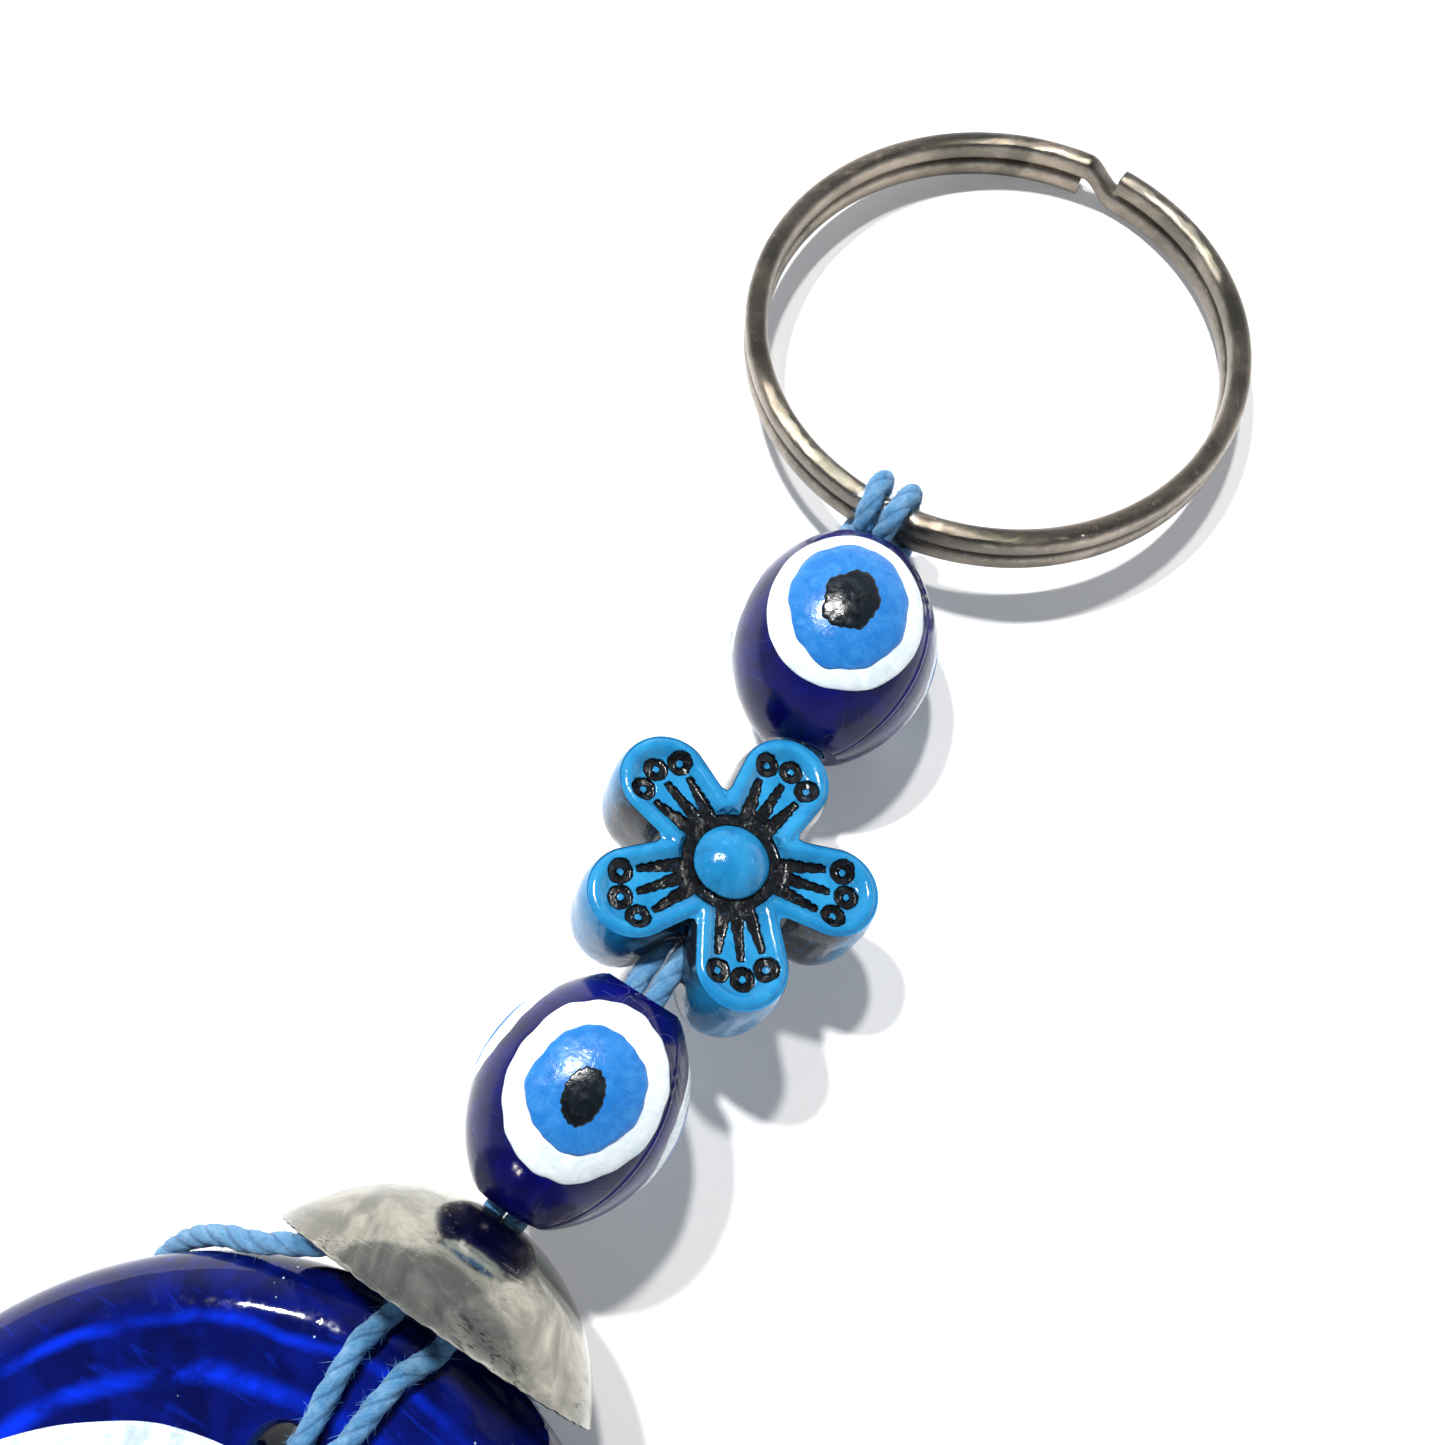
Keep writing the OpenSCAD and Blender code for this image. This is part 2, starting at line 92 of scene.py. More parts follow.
# ---------------------------------------------------------------- sizes in mm
DISC_R, DISC_T, CROWN, SLOPE = 25.0, 10.0, 0.3, radians(8)
HOLE_INSET, HOLE_TURN = 9.9, radians(11)
CORD_R = 0.7
AIR = 0.1
STRAND_X = CORD_R + 0.02
BORE_R = STRAND_X + CORD_R + 0.08
HOLE_R = 2 * CORD_R + 0.35
LIP = 0.8
hole_out = DISC_R - HOLE_INSET
FOOT_R = hole_out - (2 * CORD_R + 0.15) / tan(SLOPE)
EDGE_R = (DISC_T - CROWN - (DISC_R - FOOT_R) * tan(SLOPE)) / (1 + 1 / cos(SLOPE) - tan(SLOPE))
EDGE_X = DISC_R - EDGE_R
EDGE_Z = DISC_T - CROWN - EDGE_R
HOLE = (-hole_out * sin(HOLE_TURN), hole_out * cos(HOLE_TURN))
LAYERS = [("eye_white", (-3.4, -2.7), 16.7, 1.8), ("eye_blue", (-3.1, -2.9), 9.6, 0.9),
          ("eye_pupil", (-3.3, -2.6), 4.6, 0.4)]
CAP_R, CAP_DEPTH, CAP_WALL, KNOT_R = 10.4, 6.7, 0.6, 2.4
BEAD_R, BEAD_HALF, BEAD_END = (6.0, 6.55), (7.05, 7.45), 2.45
EYE_ROLL, EYE_SHIFT = (radians(10), radians(5)), (1.0, 0.85)
DOT_R = (4.7, 3.5, 1.6)
PAINT = 0.12
PETALS, PETAL_REACH, PETAL_R, PETAL_ROOT = 5, 9.5, 3.1, 2.4
FLOWER_H, POCKET, DOME_R, RIM, FACE_INSET = 3.1, 0.45, 2.4, 0.6, 0.35
FLOWER_ROLL = radians(9.4)
RING_R, WIRE_W, WIRE_H, COIL_GAP = 18.0, 1.6, 1.7, 0.05
HITCH_DROP, HITCH_REACH = 0.75, 2.2


# ---------------------------------------------------------------- materials
# Short names of the Principled shader's inputs
KEYS = {"color": "Base Color", "coat": "Coat Weight", "coat_rough": "Coat Roughness",
        "specular": "Specular IOR Level",
        "sss": "Subsurface Weight", "sss_scale": "Subsurface Scale",
        "sss_radius": "Subsurface Radius", "sheen": "Sheen Weight", "sheen_rough": "Sheen Roughness",
        "sheen_tint": "Sheen Tint", "ior": "IOR", "roughness": "Roughness",
        "metallic": "Metallic"}


class Look:
    """A material's nodes: a Principled shader and short calls for the textures that feed it."""

    def __init__(self, name, **values):
        self.mat = bpy.data.materials.new(name)
        self.mat.use_nodes = True
        self.tree = self.mat.node_tree
        self.shader = self.tree.nodes["Principled BSDF"]
        for key, value in values.items():
            self.shader.inputs[KEYS[key]].default_value = value
        self.place = self.node("ShaderNodeTexCoord").outputs["Object"]

    def node(self, kind, inputs=(), **settings):
        n = self.tree.nodes.new(kind)
        for key, value in settings.items():
            setattr(n, key, value)
        for key, value in dict(inputs).items():
            if isinstance(value, bpy.types.NodeSocket):
                self.tree.links.new(value, n.inputs[key])
            elif value is not None:
                n.inputs[key].default_value = value
        return n

    def link(self, source, target):
        self.tree.links.new(source, self.shader.inputs[target])

    def attribute(self, name):
        return self.node("ShaderNodeAttribute", attribute_name=name)

    def stretched(self, scale, source=None):
        return self.node("ShaderNodeMapping", {"Vector": source or self.place, "Scale": scale}).outputs[0]

    def noise(self, scale, detail=3.0, rough=0.55, warp=0.0, source=None):
        """Noise at a scale in features a millimetre."""
        return self.node("ShaderNodeTexNoise", {
            "Vector": source or self.place, "Scale": scale / MM, "Detail": detail, "Roughness": rough,
            "Distortion": warp}).outputs["Fac"]

    def cells(self, scale, feature="F1", source=None):
        return self.node("ShaderNodeTexVoronoi", {"Vector": source or self.place, "Scale": scale / MM},
                         feature=feature).outputs["Distance"]

    def step(self, value, low, high, to_low=0.0, to_high=1.0):
        return self.node("ShaderNodeMapRange", {0: value, 1: low, 2: high, 3: to_low, 4: to_high},
                         interpolation_type="SMOOTHSTEP").outputs[0]

    def math(self, operation, a, b=None, c=None):
        return self.node("ShaderNodeMath", {0: a, 1: b, 2: c}, operation=operation).outputs[0]

    def mix(self, factor, a, b):
        return self.node("ShaderNodeMix", {0: factor, 6: a, 7: b}, data_type="RGBA").outputs[2]

    def axis(self, index, source=None):
        return self.node("ShaderNodeSeparateXYZ", {0: source or self.place}).outputs[index]

    def bump(self, height, depth, normal=None):
        """Bump whose depth is in mm."""
        return self.node("ShaderNodeBump", {"Height": height, "Strength": 1.0, "Distance": depth * MM,
                                            "Normal": normal}).outputs[0]


def srgb(r, g, b):
    """Linear colour of an 8-bit sRGB colour."""
    def linear(c):
        c /= 255
        return c / 12.92 if c <= 0.04045 else ((c + 0.055) / 1.055) ** 2.4
    return (linear(r), linear(g), linear(b), 1.0)


def cord_look():
    """Light blue waxed cotton: twisted plies, fine fibres along them, wax that catches light, and painted
    shade in the grooves between the plies.
    """
    k = Look("waxed_cord", roughness=0.62, specular=0.45, sheen=0.35, sheen_rough=0.4,
             sheen_tint=srgb(205, 228, 245))
    flow = k.attribute("flow").outputs["Vector"]
    ply = k.attribute("ply").outputs["Fac"]
    fibre = k.noise(0.001 * 9, 4, 0.7, 0.6, k.stretched((0.5, 5, 5), flow))
    blotch = k.noise(0.9, 4, 0.6)
    tone = k.mix(k.step(fibre, 0.35, 0.68), srgb(42, 112, 170), srgb(112, 176, 218))
    tone = k.mix(k.step(blotch, 0.45, 0.7, 0, 0.4), tone, srgb(160, 204, 232))
    # Painted shade: a darker blue laid into the grooves between the twisted strands, where the mask read
    # above is low.
    k.link(k.mix(k.step(ply, 0.0, 0.55, 0.75, 0.0), tone, srgb(30, 82, 138)), "Base Color")
    k.link(k.step(blotch, 0.3, 0.7, 0.5, 0.75), "Roughness")
    height = k.math("ADD", k.math("MULTIPLY", fibre, 0.7), k.math("MULTIPLY", k.noise(6, 3), 0.3))
    k.link(k.bump(height, 0.12), "Normal")
    return k.mat


def glass_look():
    """Deep cobalt glass with drifts and a few bubbles, and painted light: paler lit rings and pale glints.
    """
    k = Look("blue_glass", roughness=0.07, ior=1.45, coat=0.12, coat_rough=0.03, specular=0.4)
    x, y = k.axis(0), k.axis(1)
    radius = k.math("SQRT", k.math("ADD", k.math("MULTIPLY", x, x), k.math("MULTIPLY", y, y)))
    wavy = k.math("ADD", radius, k.math("MULTIPLY", k.math("SUBTRACT", k.noise(0.09, 3), 0.5), 2.2 * MM))

    def lit_band(middle, width):
        off = k.math("ABSOLUTE", k.math("SUBTRACT", wavy, middle * MM))
        return k.step(off, 0.0, width * MM, 1.0, 0.0)
    # Painted light: the paler rings are light shining through the glass near the rim, full on the lamp side
    # (-X) and a quarter as strong on the far side.
    left = k.step(x, -2 * MM, 5 * MM, 1.0, 0.25)
    lit_bands = k.math("MULTIPLY", k.math("MAXIMUM", lit_band(18.5, 0.9), k.math("MULTIPLY", lit_band(21.4, 0.55), 0.9)),
                   k.math("MULTIPLY", left, k.step(k.noise(0.12, 4, 0.6, 1.0), 0.36, 0.6)))
    deep = k.mix(k.step(k.noise(0.16, 5, 0.6, 1.5), 0.35, 0.7), srgb(3, 8, 62), srgb(4, 18, 104))
    tone = k.mix(lit_bands, deep, srgb(4, 44, 205))
    drift = k.step(k.noise(0.3, 4, 0.6, 2.0, k.stretched((0.5, 2.2, 1))), 0.56, 0.72, 0, 0.55)
    tone = k.mix(drift, tone, srgb(6, 34, 150))
    # Painted glints: small pale specks in the base colour, scattered over the glass.
    some = k.step(k.noise(0.5, 2), 0.55, 0.62)
    painted_glint = k.math("MULTIPLY", k.step(k.cells(1.1), 0.04, 0.10, 1.0, 0.0), some)
    k.link(k.mix(k.math("MULTIPLY", painted_glint, 0.8), tone, srgb(176, 214, 240)), "Base Color")
    k.link(k.step(k.noise(1.3, 4), 0.45, 0.75, 0.05, 0.16), "Roughness")
    dimple = k.bump(k.noise(0.22, 2), 0.10)
    k.link(k.bump(k.step(k.cells(0.55), 0.0, 0.12), 0.03, dimple), "Normal")
    return k.mat


def fused_glass_look(name, dark, mid, light):
    """Opaque glass let into the eye: soft swirls, pinholes and a slightly wavy gloss."""
    k = Look(name, roughness=0.12, ior=1.52, coat=0.5, coat_rough=0.04)
    swirl = k.noise(0.22, 5, 0.6, 2.2)
    tone = k.mix(k.step(swirl, 0.32, 0.55), dark, mid)
    tone = k.mix(k.step(k.noise(0.6, 4, 0.6, 1.2), 0.5, 0.72, 0, 0.8), tone, light)
    pin = k.step(k.cells(0.9), 0.03, 0.07, 1.0, 0.0)
    k.link(k.mix(k.math("MULTIPLY", pin, 0.35), tone, dark), "Base Color")
    k.link(k.step(k.noise(1.1, 4), 0.4, 0.8, 0.08, 0.25), "Roughness")
    k.link(k.bump(k.math("SUBTRACT", k.noise(0.35, 3), k.math("MULTIPLY", pin, 0.4)), 0.08), "Normal")
    return k.mat


def bead_look():
    """Navy moulded bead: slightly cloudy, glossy, with fine scratches, cracks and a gate scar."""
    k = Look("bead_glass", roughness=0.14, ior=1.4, coat=0.08, coat_rough=0.04, specular=0.35, sss=0.35,
             sss_radius=(0.05, 0.12, 1.0), sss_scale=2.5 * MM)
    cloud = k.noise(0.3, 4, 0.6, 0.8)
    tone = k.mix(k.step(cloud, 0.35, 0.7), srgb(5, 6, 58), srgb(8, 10, 96))
    scratch = k.noise(1.0, 3, 0.6, 0.3, k.stretched((0.35, 3.2, 0.35)))
    scratch = k.step(scratch, 0.68, 0.74)
    vein = k.math("ABSOLUTE", k.math("SUBTRACT", k.noise(0.32, 2, 0.5, 1.1), 0.5))
    crack = k.math("MULTIPLY", k.step(vein, 0.0, 0.006, 1.0, 0.0), k.step(k.noise(0.2, 1), 0.58, 0.66))
    tone = k.mix(k.math("MULTIPLY", scratch, 0.10), tone, srgb(60, 74, 140))
    k.link(k.mix(k.math("MULTIPLY", crack, 0.6), tone, srgb(96, 110, 150)), "Base Color")
    smear = k.step(k.noise(0.5, 5, 0.65), 0.42, 0.7, 0.12, 0.26)
    k.link(k.math("ADD", smear, k.math("MULTIPLY", scratch, 0.2)), "Roughness")
    height = k.math("SUBTRACT", k.math("MULTIPLY", k.noise(0.5, 3), 0.6), k.math("MULTIPLY", crack, 0.5))
    k.link(k.bump(height, 0.06), "Normal")
    return k.mat


def paint_look(name, base, pale, dark, rough):
    """Thick hand-dotted paint: brush drag, small pits and a little dirt."""
    k = Look(name, roughness=rough, ior=1.42, coat=0.1, coat_rough=0.12)
    drag = k.noise(0.8, 4, 0.6, 1.4)
    tone = k.mix(k.step(drag, 0.35, 0.72), base, pale)
    dirt = k.math("MULTIPLY", k.step(k.noise(2.2, 5, 0.7), 0.56, 0.74), 0.45)
    k.link(k.mix(dirt, tone, dark), "Base Color")
    k.link(k.step(k.noise(1.6, 4), 0.35, 0.75, rough - 0.08, rough + 0.14), "Roughness")
    pit = k.step(k.cells(1.5), 0.03, 0.1)
    height = k.math("ADD", k.math("MULTIPLY", k.noise(1.1, 4, 0.6), 0.8), k.math("MULTIPLY", pit, 0.25))
    k.link(k.bump(height, 0.08), "Normal")
    return k.mat


def flower_look():
    """Light blue moulded bead: black antiquing wiped off its face, left in corners and walls."""
    k = Look("flower_enamel", roughness=0.16, ior=1.42, coat=0.15, coat_rough=0.03, specular=0.4)
    wash = k.attribute("wash").outputs["Fac"]
    wall = k.attribute("wall").outputs["Fac"]
    cloud = k.noise(0.35, 4, 0.6, 0.6)
    tone = k.mix(k.step(cloud, 0.3, 0.7), srgb(24, 112, 164), srgb(40, 134, 184))
    grime = k.noise(1.1, 5, 0.7, 0.8)
    stain = k.math("MULTIPLY", wash, k.step(grime, 0.28, 0.66, 0.35, 1.0))
    tone = k.mix(stain, tone, srgb(14, 40, 66))
    pooled = k.math("MULTIPLY", k.math("MULTIPLY", wall, wash), k.step(grime, 0.30, 0.46))
    scuff = k.math("MAXIMUM", pooled, k.math("MULTIPLY", wall, k.step(grime, 0.62, 0.7)))
    tone = k.mix(k.math("MULTIPLY", scuff, 0.92), tone, srgb(22, 20, 24))
    worn = k.step(k.noise(2.4, 4, 0.7), 0.62, 0.75)
    k.link(k.mix(k.math("MULTIPLY", worn, 0.25), tone, srgb(140, 200, 232)), "Base Color")
    k.link(k.step(k.noise(0.9, 5, 0.65), 0.35, 0.75, 0.07, 0.22), "Roughness")
    k.link(k.bump(k.math("ADD", k.noise(0.8, 4), k.math("MULTIPLY", k.noise(4, 3), 0.25)), 0.06), "Normal")
    return k.mat


def wash_look():
    """Black wash: glossy where it pooled, thin and streaky elsewhere."""
    k = Look("black_wash", roughness=0.14, ior=1.42, coat=0.15, coat_rough=0.05)
    streak = k.noise(1.5, 5, 0.7, 0.8)
    tone = k.mix(k.step(streak, 0.56, 0.76, 0, 0.5), srgb(5, 7, 11), srgb(52, 84, 112))
    k.link(tone, "Base Color")
    k.link(k.step(k.noise(2.0, 4), 0.35, 0.7, 0.08, 0.35), "Roughness")
    k.link(k.bump(k.noise(2.2, 4, 0.6), 0.07), "Normal")
    return k.mat


def cap_look():
    """Silver-plated sheet: soft dents, fine scratches, a scuffed patch near the rim, tarnish."""
    k = Look("cap_metal", metallic=1.0, roughness=0.16)
    y = k.axis(1)
    near_rim = k.step(y, 0.5 * MM, 4.2 * MM, 1.0, 0.0)
    haze = k.noise(0.28, 5, 0.6, 0.8)
    tone = k.mix(k.step(haze, 0.35, 0.7), srgb(120, 119, 111), srgb(184, 180, 167))
    fine = k.step(k.noise(1.2, 3, 0.6, 0.5, k.stretched((0.4, 4.5, 0.4))), 0.6, 0.7)
    cross = k.step(k.noise(1.2, 3, 0.6, 0.5, k.stretched((4.0, 0.5, 2.0))), 0.62, 0.7)
    scratch = k.math("MAXIMUM", fine, cross)
    patch = k.math("MULTIPLY", near_rim, k.step(k.noise(0.14, 2), 0.44, 0.54))
    gouge = k.noise(1.3, 4, 0.6, 1.2, k.stretched((0.7, 2.4, 0.7)))
    mark = k.math("MULTIPLY", patch, k.step(gouge, 0.54, 0.62))
    tone = k.mix(k.math("MULTIPLY", mark, 0.8), tone, srgb(58, 57, 52))
    spot = k.step(k.noise(1.9, 5, 0.7), 0.66, 0.76, 0, 0.6)
    k.link(k.mix(spot, tone, srgb(98, 94, 84)), "Base Color")
    rough = k.math("ADD", k.step(haze, 0.3, 0.8, 0.09, 0.17), k.math("MULTIPLY", scratch, 0.06))
    k.link(k.math("ADD", rough, k.math("MULTIPLY", patch, 0.14)), "Roughness")
    dents = k.bump(k.noise(0.1, 2), 0.16)
    grain = k.math("ADD", k.math("MULTIPLY", scratch, -0.25), k.math("MULTIPLY", patch, k.noise(3.5, 4)))
    k.link(k.bump(grain, 0.015, dents), "Normal")
    return k.mat


def ring_look():
    """Darkened nickel: lengthwise drawing marks, bright worn spots and fine cross scratches."""
    k = Look("ring_metal", metallic=1.0, roughness=0.26)
    flow = k.attribute("flow").outputs["Vector"]
    edge = k.attribute("edge").outputs["Fac"]
    cloud = k.noise(0.12, 4, 0.6, 0.8)
    tone = k.mix(k.step(cloud, 0.35, 0.65), srgb(104, 99, 89), srgb(164, 151, 137))
    drawn = k.noise(0.001 * 5, 4, 0.65, 0.2, k.stretched((0.35, 6, 6), flow))
    cross = k.step(k.noise(0.001 * 6, 3, 0.6, 0.6, k.stretched((5, 0.5, 0.5), flow)), 0.66, 0.72)
    tone = k.mix(k.step(drawn, 0.4, 0.7, 0, 0.45), tone, srgb(66, 64, 58))
    worn = k.math("MULTIPLY", edge, k.step(k.noise(1.2, 4, 0.7), 0.4, 0.62))
    tone = k.mix(k.math("MULTIPLY", worn, 0.7), tone, srgb(206, 202, 192))
    k.link(k.mix(k.math("MULTIPLY", cross, 0.6), tone, srgb(216, 214, 206)), "Base Color")
    k.link(k.math("ADD", k.step(drawn, 0.3, 0.75, 0.07, 0.2), k.math("MULTIPLY", cross, 0.1)), "Roughness")
    height = k.math("SUBTRACT", k.math("MULTIPLY", drawn, 0.8), k.math("MULTIPLY", cross, 0.6))
    k.link(k.bump(height, 0.03), "Normal")
    return k.mat


M = {
    "waxed_cord": cord_look(),
    "blue_glass": glass_look(),
    "white_glass": fused_glass_look("white_glass", srgb(172, 190, 214), srgb(206, 219, 236),
                                    srgb(236, 242, 248)),
    "light_blue_glass": fused_glass_look("light_blue_glass", srgb(28, 104, 180), srgb(62, 150, 214),
                                         srgb(120, 190, 232)),
    "black_glass": fused_glass_look("black_glass", srgb(5, 6, 10), srgb(12, 14, 20), srgb(24, 28, 40)),
    "bead_glass": bead_look(),
    "white_paint": paint_look("white_paint", srgb(214, 226, 232), srgb(232, 240, 242),
                              srgb(150, 170, 184), 0.3),
    "blue_paint": paint_look("blue_paint", srgb(28, 106, 180), srgb(48, 124, 192),
                             srgb(18, 70, 130), 0.28),
    "black_paint": paint_look("black_paint", srgb(8, 12, 18), srgb(18, 28, 38), srgb(3, 4, 7), 0.22),
    "flower_enamel": flower_look(),
    "black_wash": wash_look(),
    "cap_metal": cap_look(),
    "ring_metal": ring_look(),
}


# ---------------------------------------------------------------- meshes
def grid_faces(rows, cols, wrap_rows=False, wrap_cols=False):
    """Quads over a grid of points that is stored row by row."""
    i = np.arange(rows if wrap_rows else rows - 1)[:, None]
    j = np.arange(cols if wrap_cols else cols - 1)[None, :]
    i2, j2 = (i + 1) % rows, (j + 1) % cols
    return np.stack([i * cols + j, i * cols + j2, i2 * cols + j2, i2 * cols + j], -1).reshape(-1, 4)


def piece(name, points, faces, look, nodes, body=None, place=None, sharp=40, **attributes):
    """A mesh object in mm at its place, which stands for CAD nodes and rides on their body."""
    mesh = bpy.data.meshes.new(name)
    mesh.from_pydata((np.asarray(points, float) * MM).tolist(), [], [list(map(int, f)) for f in faces])
    mesh.validate()
    for key, values in attributes.items():
        values = np.asarray(values, np.float32)
        kind = "FLOAT_VECTOR" if values.ndim == 2 else "FLOAT"
        store = mesh.attributes.new(key, kind, "POINT")
        store.data.foreach_set("vector" if values.ndim == 2 else "value", values.ravel())
    mesh.shade_smooth()
    mesh.set_sharp_from_angle(angle=radians(sharp))
    mesh.materials.append(M[look])
    obj = bpy.data.objects.new(name, mesh)
    bpy.context.scene.collection.objects.link(obj)
    if place is not None:
        obj.matrix_world = place
    if nodes:
        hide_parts(*nodes)
    if body:
        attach(obj, body)
    return obj


def fix_normals(obj):
    """Turns every face of a closed mesh outward."""
    b = bmesh.new()
    b.from_mesh(obj.data)
    bmesh.ops.recalc_face_normals(b, faces=b.faces)
    b.to_mesh(obj.data)
    b.free()


def wobble(count, size, waves, seed):
    """A closed, smooth, irregular line of small offsets."""
    local = np.random.RandomState(seed)
    a = np.linspace(0, 2 * pi, count, endpoint=False)
    out = np.zeros(count)
    for w in waves:
        out += local.normal() * np.cos(w * a + local.uniform(0, 2 * pi)) / sqrt(w)
    return size * out / (np.abs(out).max() + 1e-9)


def lathe(profile, turns=256, axis="Y"):
    """Points and faces of a closed profile of (radius, distance) pairs turned about an axis."""
    p = np.asarray(profile, float)
    a = np.linspace(0, 2 * pi, turns, endpoint=False)
    r, h = p[:, None, 0], np.repeat(p[:, None, 1], turns, 1)
    x, z = r * np.cos(a), r * np.sin(a)
    points = np.stack([x, h, z] if axis == "Y" else [x, z, h], -1).reshape(-1, 3)
    return points, grid_faces(len(p), turns, True, True)


def rounded(corners, radius, steps=5):
    """A closed outline with every corner replaced by a small curve."""
    c = [np.array(q, float) for q in corners]
    out = []
    for i, q in enumerate(c):
        a, b = c[i - 1] - q, c[(i + 1) % len(c)] - q
        reach = min(radius, np.linalg.norm(a) * 0.45, np.linalg.norm(b) * 0.45)
        a, b = a / np.linalg.norm(a) * reach, b / np.linalg.norm(b) * reach
        out += [q + a * (1 - t) ** 2 + b * t ** 2 for t in np.linspace(0, 1, steps)]
    return out


# ---------------------------------------------------------------- cord
def smooth_line(points, steps):
    """A Catmull-Rom line through the points."""
    p = np.asarray(points, float)
    q = np.vstack([p[:1], p, p[-1:]])
    t = np.linspace(0, 1, steps, endpoint=False)[:, None]
    out = []
    for i in range(len(p) - 1):
        a, b, c, d = q[i:i + 4]
        out.append(0.5 * (2 * b + (c - a) * t + (2 * a - 5 * b + 4 * c - d) * t ** 2
                          + (3 * b - a - 3 * c + d) * t ** 3))
    return np.vstack(out + [p[-1:]])


def even(line, gap):
    """The same line with points a fixed gap apart."""
    s = np.concatenate([[0], np.cumsum(np.linalg.norm(np.diff(line, axis=0), axis=1))])
    at = np.linspace(0, s[-1], int(ceil(s[-1] / gap)) + 1)
    return np.stack([np.interp(at, s, line[:, i]) for i in range(3)], -1), at


PLIES, LAY, SIDES = 3, 5.2, 30


def cord_mesh(lines, radius=CORD_R, hairs=18.0, seed=1):
    """One mesh of twisted cord along several lines, with loose fibres: points, faces, attributes."""
    local = np.random.RandomState(seed)
    # The fourth list holds, for each point, how far it stands out from the grooves between strands; the
    # material paints shade where it is low.
    points, faces, flow, ply = [], [], [], []
    total = 0

    def add(p, f, fl, pl):
        nonlocal total
        points.append(p), faces.append(f + total), flow.append(fl), ply.append(pl)
        total += len(p)
    for line in lines:
        line, s = even(np.asarray(line, float), 0.16)
        t = np.gradient(line, axis=0)
        t /= np.linalg.norm(t, axis=1)[:, None]
        n = np.zeros_like(t)
        up = np.array([0.1, 0.2, 1.0])
        for i, d in enumerate(t):
            up = up - (up @ d) * d
            up /= np.linalg.norm(up)
            n[i] = up
        b = np.cross(t, n)
        a = np.linspace(0, 2 * pi, SIDES, endpoint=False)
        phase = a[None, :] - 2 * pi * s[:, None] / LAY
        lobe = np.abs(np.sin(PLIES * phase / 2)) ** 0.8
        uneven = 1 + 0.025 * np.sin(s * 1.7 + seed)[:, None]
        r = radius * (0.80 + 0.17 * lobe) * uneven + 0.012 * local.normal(size=lobe.shape)
        ring = (line[:, None] + r[..., None] * (np.cos(a)[None, :, None] * n[:, None]
                                                + np.sin(a)[None, :, None] * b[:, None]))
        spread = np.stack([np.repeat(s[:, None], SIDES, 1), np.cos(phase) * 0.7, np.sin(phase) * 0.7], -1)
        f = grid_faces(len(line), SIDES, False, True)
        add(ring.reshape(-1, 3), f, spread.reshape(-1, 3), lobe.reshape(-1))
        for k in range(int(hairs * s[-1])):
            i = local.randint(1, len(line) - 1)
            angle = local.uniform(0, 2 * pi)
            out = cos(angle) * n[i] + sin(angle) * b[i]
            way = t[i] * local.choice([-1, 1]) * local.uniform(0.4, 1.3) + out * local.uniform(0.25, 0.9)
            way += np.cross(t[i], out) * local.normal() * 0.5
            way /= np.linalg.norm(way)
            length = local.uniform(0.2, 0.8)
            curl = out * local.normal() * 0.15
            spine = [line[i] + out * radius * 0.85 + way * length * u + curl * u * u
                     for u in (0, 0.35, 0.7, 1.0)]
            side = np.cross(way, out)
            side /= np.linalg.norm(side) + 1e-9
            w = 0.022
            ends = [q + w * (1 - 0.8 * m / 3) * (cos(c) * side + sin(c) * out)
                    for m, q in enumerate(spine) for c in (0, 2.1, 4.2)]
            add(np.array(ends), grid_faces(4, 3, False, True),
                np.tile([s[i], 0.7, 0.0], (12, 1)), np.ones(12))
    return np.vstack(points), np.vstack(faces), np.vstack(flow), np.concatenate(ply)


def cord(name, lines, nodes, body=None, **options):
    points, faces, flow, ply = cord_mesh(lines, **options)
    points[:, 2] = np.maximum(points[:, 2], 0.01)
    return piece(name, points, faces, "waxed_cord", nodes, body, sharp=180, flow=flow, ply=ply)


# The loops of cord on the glass, along the same points as the CAD's
def over(x, y):
    r = hypot(x, y)
    if r < EDGE_X:
        return (x, y, DISC_T - CROWN * r / EDGE_X + CORD_R + AIR)
    return (x, y, EDGE_Z + sqrt((EDGE_R + CORD_R + AIR) ** 2 - (r - EDGE_X) ** 2))


def by_hole(dx, dy, z):
    return (HOLE[0] + dx, HOLE[1] + dy, z)


def on_face(dx, dy):
    return over(HOLE[0] + dx, HOLE[1] + dy)


def rim_point(out, turn, z):
    a = radians(turn)
    return (-(DISC_R + out) * sin(a), (DISC_R + out) * cos(a), z)


def beside(turn, z):
    reach = EDGE_R + CORD_R + 1.5 * AIR
    return rim_point(EDGE_X - DISC_R + sqrt(reach ** 2 - (z - EDGE_Z) ** 2), turn, z)


knot_at = np.array(joint("eye_tilt")["pos_m"]) / MM


def by_knot(x, y, z):
    return tuple(knot_at + (x, y, z))


